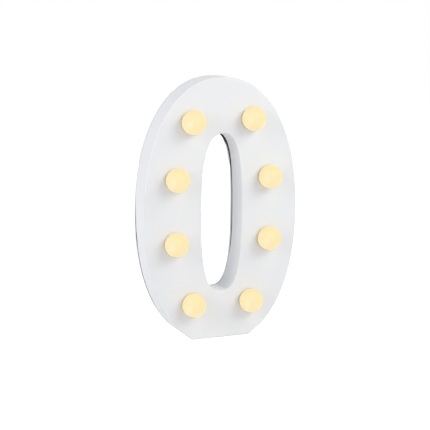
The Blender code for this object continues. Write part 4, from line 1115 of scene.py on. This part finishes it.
def lug(side):
    """A hooked foot: a riser behind the plate and a toe that reaches under the cover."""
    low = BODY_CENTRE - DOOR_HALF_LENGTH - LUG_REACH
    high = BODY_CENTRE - CAVITY_HALF_LENGTH + LEDGE
    riser = BODY_CENTRE - CAVITY_HALF_LENGTH + GAP
    xs = around(DOOR_X + side * LUG_OFFSET, LUG_WIDTH / 2)
    return (
        box(f"lug_toe_{side}", xs, (LUG_FRONT, LUG_BACK), (low, high), COVER_WHITE, PART_EDGE),
        box(f"lug_riser_{side}", xs, (LUG_FRONT, DEPTH - BURY), (riser, high), COVER_WHITE),
    )


def slanted_bar(x, z, angle):
    """A grip line's outline, shorter and turned in the plane of the door."""
    bar = rectangle(0, 0, MARK_HALF_LENGTH, GRIP_HALF_WIDTH, GRIP_ROUND)
    cos, sin = math.cos(angle), math.sin(angle)
    return [Vector((x + p.x * cos - p.y * sin, z + p.x * sin + p.y * cos)) for p in bar]


def door_marks():
    """Four grip lines and an arrowhead that points to the tongue."""
    top = BODY_CENTRE + DOOR_HALF_LENGTH - GRIP_DROP - GRIP_HALF_WIDTH
    grips = [
        rectangle(DOOR_X, top - i * GRIP_PITCH, GRIP_HALF_LENGTH, GRIP_HALF_WIDTH, GRIP_ROUND)
        for i in range(GRIP_COUNT)
    ]
    offset = (MARK_HALF_LENGTH - GRIP_HALF_WIDTH) * math.cos(MARK_SLOPE)
    z = top - (GRIP_COUNT + 1) * GRIP_PITCH
    arms = [slanted_bar(DOOR_X + side * offset, z, -side * MARK_SLOPE) for side in (-1, 1)]
    return [pocket(f"mark_{i}", line, GRIP_FLOOR, GRIP_LIP) for i, line in enumerate(grips + arms)]


door = door_plate()
weld(door, *lug(-1), *lug(1), tongue())
carve(door, *door_marks())
placed(shaded(door), "door", "cover_plastic", "battery_door")
print("door faces", len(door.data.polygons))

# %% [markdown]
# ## Metals
#
# Nickel, zinc and tin plating differ in colour by very little and in finish by a lot: a rolled contact
# plate is brushed one way, a screw is dull and slightly yellow, a spring is bright. One function makes
# them all from a colour, a roughness and the size of the brush marks along x, y and z.

# %% Plate the metals
MARK_SPREAD = 0.16
MARK_DEPTH = 0.001 * MM
SPOT_SIZE = 2.5 * MM
SPOT_SHADE = 0.8


def plated(name, colour, roughness, *marks):
    """Metal with fine marks, whose size along x, y and z is given in millimetres."""
    graph, place = finish(name)
    lines = graph.noise(place, tuple(side * MM for side in marks), 3)
    spots = graph.noise(place, SPOT_SIZE, 4)
    return graph.surface(
        Base_Color=graph.mixed(spots, dimmed(colour, SPOT_SHADE), colour),
        Metallic=1.0,
        Roughness=roughness - MARK_SPREAD / 2 + lines * MARK_SPREAD,
        Normal=graph.bump(lines, MARK_DEPTH),
    )


NICKEL = plated("nickel_plate", (0.68, 0.66, 0.61), 0.28, 3, 0.12, 0.12)
SPRING_STEEL = plated("spring_steel", (0.6, 0.6, 0.6), 0.22, 0.3, 0.3, 0.3)
SCREW_STEEL = plated("screw_steel", (0.62, 0.61, 0.58), 0.34, 0.4, 0.1, 0.4)
TINNED_STEEL = plated("tinned_steel", (0.58, 0.58, 0.57), 0.38, 0.15, 0.15, 2)
CELL_STEEL = plated("cell_steel", (0.7, 0.69, 0.67), 0.25, 0.2, 0.2, 0.2)

# %% [markdown]
# ## Cells
#
# Two AA cells lie side by side with their nubs opposite ways. A cell is a drawn steel can in a shrunk
# sleeve: the sleeve folds over both shoulders, a fibre ring keeps it off the nub, and the flat end has a
# shallow step. The sleeve here is plain silver with one green band towards the plus end, and no maker's
# print.

# %% Draw the cells
SLEEVE = 0.12 * MM
SHOULDER = 0.7 * MM
NUB_RADIUS = 2.75 * MM
NUB_HEIGHT = 1.0 * MM
NUB_EDGE = 0.3 * MM
FIBRE_RADIUS = 5.2 * MM
BAND_LOW = 33.0 * MM
BAND_EDGE = 0.4 * MM
DOT_SIZE = 0.18 * MM
WRINKLE_SIZE = 5 * MM
WRINKLE_HEIGHT = 0.03 * MM
SILVERS = ((0.5, 0.51, 0.53), (0.62, 0.63, 0.64))
GREENS = ((0.02, 0.2, 0.1), (0.03, 0.26, 0.13))


def cell_sleeve():
    """A printed foil sleeve: silver below, and a green band above."""
    graph, place = finish("cell_sleeve")
    band = graph.share(graph.axis(place, "Z"), BAND_LOW - BAND_EDGE / 2, BAND_LOW + BAND_EDGE / 2)
    dots = graph.noise(place, DOT_SIZE, 1)
    wrinkle = graph.noise(place, WRINKLE_SIZE, 3)
    return graph.surface(
        Base_Color=graph.mixed(band, graph.mixed(wrinkle, *SILVERS), graph.mixed(wrinkle, *GREENS)),
        Metallic=0.55,
        Roughness=0.26 + dots * 0.12,
        Normal=graph.bump(wrinkle, WRINKLE_HEIGHT),
        Coat_Weight=0.4,
        Coat_Roughness=0.15,
    )


def cell_profile():
    """(radius, height, finish) points from the nub down: 0 is sleeve, 1 steel and 2 fibre."""
    top = CELL_LENGTH - NUB_HEIGHT
    points = [(0, CELL_LENGTH, 1), (NUB_RADIUS - NUB_EDGE, CELL_LENGTH, 1)]
    points += [(NUB_RADIUS, CELL_LENGTH - NUB_EDGE, 1), (NUB_RADIUS, top - 2 * SLEEVE, 2)]
    points += [(FIBRE_RADIUS, top - 2 * SLEEVE, 0), (FIBRE_RADIUS, top, 0)]
    for depth, inset in rounding(SHOULDER):
        points.append((CELL_RADIUS - inset, top - depth, 0))
    for depth, inset in reversed(rounding(SHOULDER)):
        points.append((CELL_RADIUS - inset, depth + SLEEVE, 0))
    rim = CELL_RADIUS - 2 * SHOULDER
    points += [(rim, SLEEVE, 1), (rim - SLEEVE, 2 * SLEEVE, 1), (rim - SHOULDER, 2 * SLEEVE, 1)]
    return points + [(rim - SHOULDER - SLEEVE, 0, 1), (0, 0, 1)]


FELT_BLACKS = ((0.02, 0.02, 0.02), (0.05, 0.05, 0.045))
fibre_ring = speckled("fibre_ring", FELT_BLACKS, 0.3 * MM, 3, 0.8, 0, 0.02 * MM)
first_cell = turned("cell_1", cell_profile(), Matrix.Identity(4), cell_sleeve(), CELL_STEEL, fibre_ring)
shaded(first_cell, weighted=False)
for node, spot, cell in zip(CELL_NODES, CELLS, copied(first_cell, "cell", CELL_NODES)):
    low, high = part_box(node)
    upright = cell is first_cell
    cell.location = (spot.x, spot.y, low.z if upright else high.z)
    cell.rotation_euler = (0 if upright else math.pi, 0, 0)
    placed(cell, "body", "cell_sleeve", node)
print("cells", round(CELL_LENGTH / MM, 1), "mm long,", round(2 * CELL_RADIUS / MM, 1), "mm across")

# %% [markdown]
# ## Springs
#
# A contact spring is wound as a cone so that it presses flat, and its first turn lies flat on its plate.
# A curve with a round bevel is the right tool for wire: the wound line is a formula, and the wire's
# thickness is one number.

# %% Wind the springs
SPRING_TURNS = 3.5
SPRING_POINTS = 28
SPRING_WIRE = 0.35 * MM
SPRING_WIDE = 4.3 * MM
SPRING_TIP = 2.6 * MM
FLAT_TURN_SHARE = 0.16


def wind_spring(name, node, up):
    """A cone of wire, from its seat towards the end of the nearer cell."""
    low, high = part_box(node)
    seat, tip = (low.z, high.z) if up else (high.z, low.z)
    sign = 1 if up else -1
    rise = abs(tip - seat) - 2 * SPRING_WIRE
    count = round(SPRING_TURNS * SPRING_POINTS)
    x = min([cell.x for cell in CELLS], key=lambda x: abs(x - middle(node).x))
    y = CELLS[0].y
    curve = bpy.data.curves.new(name, "CURVE")
    curve.dimensions = "3D"
    curve.bevel_depth = SPRING_WIRE
    curve.bevel_resolution = 4
    curve.use_fill_caps = True
    spline = curve.splines.new("POLY")
    spline.points.add(count)
    for i, spot in enumerate(spline.points):
        share = i / count
        radius = SPRING_WIDE + (SPRING_TIP - SPRING_WIDE) * share
        angle = 2 * math.pi * SPRING_TURNS * share
        climb = smooth_share(share, FLAT_TURN_SHARE, 1 - FLAT_TURN_SHARE / 2)
        height = seat + sign * (SPRING_WIRE + rise * climb)
        spot.co = (x + radius * math.cos(angle), y + radius * math.sin(angle), height, 1)
    curve.materials.append(SPRING_STEEL)
    placed(link_object(name, curve), "body", "spring_steel", node)


wind_spring("spring_negative", "contact_spring_negative", up=False)
wind_spring("spring_link", "contact_spring_link", up=True)
print("springs of", SPRING_TURNS, "turns")

# %% [markdown]
# ## Screws
#
# Six pan-head screws hold the cover and two small ones the switch. Only their heads show, at the bottom
# of their cups, so the head gets a slight dome, a rounded rim and a cross with sloping ends, and the
# shank gets its thread as plain rings.

# %% Turn the screws
HEAD_EDGE = 0.35 * MM
HEAD_DOME_SHARE = 0.12
HEAD_STEPS = 4
SCREW_TURN_STEPS = 40
CROSS_LENGTH_SHARE = 0.62
CROSS_WIDTH_SHARE = 0.22
CROSS_DEPTH_SHARE = 0.4
TIP_LENGTH_SHARE = 0.45
TIP_WIDTH_SHARE = 0.7
THREAD_PITCH = 0.9 * MM
THREAD_DEPTH = 0.25 * MM
SCREW_HEAD_RADIUS = 2.8 * MM
SCREW_HEAD = 1.8 * MM
SCREW_RADIUS = 1.3 * MM
PIN_HEAD = 1.0 * MM


def screw_profile(head_radius, head, radius, length):
    dome_height = head * HEAD_DOME_SHARE
    points = [(0, head)]
    for i in range(1, HEAD_STEPS + 1):
        share = i / HEAD_STEPS
        points.append(((head_radius - HEAD_EDGE) * share, head - dome_height * share * share))
    for depth, inset in rounding(HEAD_EDGE)[1:]:
        points.append((head_radius - inset, head - dome_height - depth))
    points += [(head_radius, 0), (radius, 0)]
    turns = int((length - THREAD_PITCH) / THREAD_PITCH)
    for i in range(turns):
        z = -THREAD_PITCH * (i + 0.5)
        points += [(radius - THREAD_DEPTH, z), (radius, z - THREAD_PITCH / 2)]
    return points + [(radius - THREAD_DEPTH, -length), (0, -length)]


def cross(name, head_radius, head):
    """Two bars whose ends slope inwards, as a driver's tip does."""
    arm = head_radius * CROSS_LENGTH_SHARE
    width = head_radius * CROSS_WIDTH_SHARE
    ends = (
        (arm * TIP_LENGTH_SHARE, width * TIP_WIDTH_SHARE, head * CROSS_DEPTH_SHARE),
        (arm, width, head + GAP),
    )
    bars = []
    for turn in (0, 90):
        spin = BACKWARD @ Matrix.Rotation(math.radians(turn), 4, "Z")
        rings = [[spin @ Vector((x * a, y * b, z)) for x, y in CORNERS] for a, b, z in ends]
        bars.append(skin(f"{name}_cross_{turn}", rings, SCREW_STEEL))
    return bars


def make_screws(name, nodes, head_radius, head, radius):
    low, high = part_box(nodes[0])
    profile = screw_profile(head_radius, head, radius, high.y - low.y - head)
    first = turned(f"{name}_1", profile, BACKWARD, SCREW_STEEL, steps=SCREW_TURN_STEPS)
    carve(first, *cross(name, head_radius, head))
    shaded(first, weighted=False)
    for node, screw in zip(nodes, copied(first, name, nodes)):
        screw.location = (middle(node).x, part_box(node)[1].y - head, middle(node).z)
        placed(screw, "body", "screw_steel", node)


make_screws("screw", SCREW_NODES, SCREW_HEAD_RADIUS, SCREW_HEAD, SCREW_RADIUS)
make_screws("pin", PIN_NODES, PIN_HEAD_RADIUS, PIN_HEAD, PIN_RADIUS)
print("screws", len(SCREW_NODES), "pins", len(PIN_NODES))

# %% [markdown]
# ## Switch knob
#
# The knob's stem comes up through the cover's slot and carries three grooves for a thumbnail. Its foot
# stays behind the cover. The stem's section, seen from the side, is one outline with round grooves,
# drawn out to the stem's width; the corners are then rounded by a bevel.

# %% Shape the knob
KNOB_HALF_WIDTH = 2.0 * MM
KNOB_HALF_LENGTH = 2.0 * MM
KNOB_GROOVES = 3
KNOB_GROOVE_DEPTH = 0.4 * MM
FOOT_THICKNESS = 2.0 * MM
KNOB_EDGE = 0.2 * MM
WAVE_STEPS = 36
BEVEL_ANGLE = math.radians(50)
KNOB_GRAIN = 0.3 * MM
KNOB_RUB = 1.5 * MM
KNOB_GRAIN_HEIGHT = 0.006 * MM
KNOB_BLACKS = ((0.012, 0.012, 0.013), (0.022, 0.022, 0.024))


def black_plastic():
    graph, place = finish("black_plastic")
    skin_grain = graph.noise(place, KNOB_GRAIN, 2)
    rub = graph.noise(place, KNOB_RUB, 3)
    return graph.surface(
        Base_Color=graph.mixed(rub, *KNOB_BLACKS),
        Roughness=0.38 + rub * 0.14,
        Normal=graph.bump(skin_grain, KNOB_GRAIN_HEIGHT),
        IOR=1.5,
    )


def make_knob():
    black = black_plastic()
    low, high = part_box("switch_knob")
    spot = middle("switch_knob")
    top, foot = high.y - FRONT_Y, low.y - FRONT_Y
    length = 2 * KNOB_HALF_LENGTH
    wave = []
    for i in range(WAVE_STEPS + 1):
        share = i / WAVE_STEPS
        dip = (1 - math.cos(2 * math.pi * share * KNOB_GROOVES)) / 2
        wave.append(Vector((top - dip * KNOB_GROOVE_DEPTH, spot.z - KNOB_HALF_LENGTH + share * length)))
    start = foot + FOOT_THICKNESS / 2
    ends = [Vector((start, spot.z + KNOB_HALF_LENGTH)), Vector((start, spot.z - KNOB_HALF_LENGTH))]
    stem = prism("knob", wave + ends, around(spot.x, KNOB_HALF_WIDTH), black)
    bevel = stem.modifiers.new("edges", "BEVEL")
    bevel.width = KNOB_EDGE / 2
    bevel.segments = 2
    bevel.limit_method = "ANGLE"
    bevel.angle_limit = BEVEL_ANGLE
    foot_depths = (foot, foot + FOOT_THICKNESS)
    weld(stem, box("knob_foot", (low.x, high.x), foot_depths, (low.z, high.z), black, KNOB_EDGE))
    placed(shaded(stem), "knob", "black_plastic", "switch_knob")
    print("knob rests at", round(spot.z / MM, 2), "mm")


make_knob()

# %% [markdown]
# ## Pieces that stay as they are
#
# The lamps, their bases, the contact plates, the switch's frame and board, and the wires have the right
# shape already, and most of them never show. A new mesh for each would add nothing, so their solids
# stay and only take a real finish.

# %% Finish the inner solids
SWIRL_SIZE = 1.2 * MM
EPOXY_COLOURS = ((0.86, 0.72, 0.4), (0.95, 0.84, 0.55))
EPOXY_GLOWS = ((1.0, 0.72, 0.3), (1.0, 0.8, 0.42))
INSULATION_GRAIN = 0.6 * MM
INSULATION_SHADE = 0.7


def lamp_epoxy():
    """Milky yellow epoxy, lit from inside."""
    graph, place = finish("lamp_epoxy")
    swirl = graph.noise(place, SWIRL_SIZE, 2)
    return graph.surface(
        Base_Color=graph.mixed(swirl, *EPOXY_COLOURS),
        Roughness=0.12 + swirl * 0.06,
        Emission_Color=graph.mixed(swirl, *EPOXY_GLOWS),
        Emission_Strength=0.6,
        Coat_Weight=0.5,
    )


def insulation(name, colour):
    colours = (dimmed(colour, INSULATION_SHADE), colour)
    return speckled(name, colours, INSULATION_GRAIN, 2, 0.42, 0.1, 0.01 * MM)


BOARD_BROWNS = ((0.11, 0.045, 0.02), (0.2, 0.09, 0.045))
BOARD_FIBRES = (0.3 * MM, 0.3 * MM, 2.5 * MM)
RED = insulation("red_insulation", (0.5, 0.018, 0.02))
INNER_FINISHES = {
    "bulb_base": BASE_WHITE,
    "led": lamp_epoxy(),
    "contact_plate": NICKEL,
    "switch_terminal": NICKEL,
    "switch_frame": TINNED_STEEL,
    "switch_base": speckled("phenolic_board", BOARD_BROWNS, BOARD_FIBRES, 3, 0.5, 0.1, 0.01 * MM),
    "wire_positive": RED,
    "wire_switched": RED,
    "wire_negative": insulation("black_insulation", (0.02, 0.02, 0.022)),
}
for name, node in sorted(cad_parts.items()):
    for start, material in INNER_FINISHES.items():
        if name.startswith(start):
            for slot in node.material_slots:
                slot.material = material
print("finished solids:", sum(not node.hide_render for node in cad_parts.values()))

# %% [markdown]
# ## Camera
#
# The photo was taken from the left and a little above, with a long lens. A camera could be moved by hand
# until it looks right, but the outline, the hole and eight bulbs give enough points to solve for it. These
# are the solved values, as an azimuth and elevation round a point near the middle of the face.

# %% Place the camera
LOOK_AT = Vector((-6.27 * MM, FRONT_Y, 106.04 * MM))
CAMERA_DISTANCE = 899.6 * MM
CAMERA_AZIMUTH = math.radians(-21.62)
CAMERA_ELEVATION = math.radians(9.94)
CAMERA_ROLL = math.radians(0.5)
SENSOR = 36.0
FOCAL_LENGTH = 90.42
CLIP_RATIO = 100


def make_camera():
    data = bpy.data.cameras.new("camera")
    data.sensor_width = SENSOR
    data.lens = FOCAL_LENGTH
    data.clip_start = CAMERA_DISTANCE / CLIP_RATIO
    data.clip_end = CAMERA_DISTANCE * CLIP_RATIO
    camera = link_object("camera", data)
    level = math.cos(CAMERA_ELEVATION)
    aside, along = math.sin(CAMERA_AZIMUTH), math.cos(CAMERA_AZIMUTH)
    back = Vector((aside * level, -along * level, math.sin(CAMERA_ELEVATION)))
    right = Vector((along, aside, 0))
    up = back.cross(right)
    across = right * math.cos(CAMERA_ROLL) + up * math.sin(CAMERA_ROLL)
    turn = Matrix((across, back.cross(across), back)).transposed().to_4x4()
    camera.matrix_world = Matrix.Translation(LOOK_AT + back * CAMERA_DISTANCE) @ turn
    bpy.context.scene.camera = camera
    return camera


camera = make_camera()
print("camera at", [round(side / MM, 1) for side in camera.location], "mm, lens", FOCAL_LENGTH)

# %% [markdown]
# ## Light
#
# The photo is lit as a packshot: white all round, with one broad lamp at the upper right front, whose
# soft shadows fall to the lower left of each bulb, and a fill from the left that keeps the side wall
# bright. The top of the outer wall and the floor of the hole are darker than the face, so little light
# comes from straight above: the dome of light is strongest at the horizon and in front, and dims towards
# the zenith. A third, low lamp stands behind, for the back. The lamps' strengths were solved for from
# pictures of the object under one light at a time. Together they come to about 1 on the face, so a
# colour shows about as it is written.

# %% Hang the lamps
HORIZON = 0.945
ZENITH_LOSS = 0.74
FRONT_GAIN = 0.257
AMBIENT_COLOUR = (0.85, 0.883, 1.0)
LIGHT_DISTANCE = 1.2
LIGHTS = {
    "key": ((0.53, -0.63, 0.57), 0.8, 6.41, (1.0, 0.994, 0.886)),
    "fill": ((-0.91, -0.16, 0.375), 0.8, 5.58, (1.0, 0.982, 0.926)),
    "rear": ((0.25, 1.0, 0.03), 0.3, 3.0, (1.0, 0.985, 0.9)),
}


def make_light(name, direction, size, power, colour):
    data = bpy.data.lights.new(name, "AREA")
    data.shape = "DISK"
    data.size = size
    data.energy = power
    data.color = colour
    lamp = link_object(name, data)
    towards = Vector(direction).normalized()
    lamp.location = Vector((0, 0, BODY_CENTRE)) + towards * LIGHT_DISTANCE
    lamp.rotation_euler = towards.to_track_quat("Z", "Y").to_euler()
    print(name, "at", [round(side, 2) for side in lamp.location], "m")


for name, values in LIGHTS.items():
    make_light(name, *values)


def seen_directly(graph):
    """1 for rays from the camera or by way of a mirror or glass, 0 for rays that only carry light."""
    path = graph.node("LightPath", {}, "Is Camera Ray")
    outputs = path.socket.node.outputs
    return path + Wire(graph, outputs["Is Glossy Ray"]) + Wire(graph, outputs["Is Transmission Ray"])


def make_world():
    world = bpy.data.worlds.new("studio")
    bpy.context.scene.world = world
    graph = Graph(world)
    towards = graph.node("TexCoord", {}, "Generated")
    front = graph.node("Math", {0: graph.axis(towards, "Y") * -1, 1: 0}, operation="MAXIMUM")
    above = graph.node("Math", {0: graph.axis(towards, "Z"), 1: 0}, operation="MAXIMUM")
    strength = HORIZON - above * ZENITH_LOSS + front * FRONT_GAIN
    light = graph.node("Background", {"Color": AMBIENT_COLOUR, "Strength": strength})
    white = graph.node("Background", {"Color": (1, 1, 1), "Strength": 1.0})
    graph.output(graph.node("MixShader", {0: seen_directly(graph), 1: light, 2: white}), "World")


make_world()

# %% Lay the floor
FLOOR_HALF = 3.0
FLOOR_DROP = 0.05 * MM
FLOOR_LIFT = 0.62
FLOOR_FIBRE = 1.2 * MM
BOUNCE_GREYS = ((0.68, 0.68, 0.68), (0.7, 0.7, 0.7))
PAPER_GREY = (0.9, 0.9, 0.9)


def floor_finish():
    """Pale where light bounces off it, and white to the camera except where a shadow falls."""
    graph, place = finish("floor_paper")
    pale = graph.mixed(graph.noise(place, FLOOR_FIBRE, 2), *BOUNCE_GREYS)
    bounce = graph.node("BsdfDiffuse", {"Color": pale})
    paper = graph.node("BsdfDiffuse", {"Color": PAPER_GREY})
    lift = graph.node("Emission", {"Color": (1, 1, 1), "Strength": FLOOR_LIFT})
    white = graph.node("AddShader", {0: paper, 1: lift})
    return graph.output(graph.node("MixShader", {0: seen_directly(graph), 1: bounce, 2: white}))


def make_floor():
    bm = bmesh.new()
    spots = [(x * FLOOR_HALF, y * FLOOR_HALF, -FLOOR_DROP) for x, y in CORNERS]
    bm.faces.new([bm.verts.new(spot) for spot in spots])
    add_object("floor", bm, floor_finish())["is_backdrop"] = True


make_floor()
bpy.context.scene.view_settings.view_transform = "Standard"

# %% [markdown]
# ## Last check
#
# The dressed pieces have to stay inside the box of the solids, so both boxes are kept for comparison.

# %% Compare the boxes and finish
low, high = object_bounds()
beyond = max(max(CAD_LOW - low), max(high - CAD_HIGH))
print("reach beyond the solids in mm:", round(beyond / MM, 3))
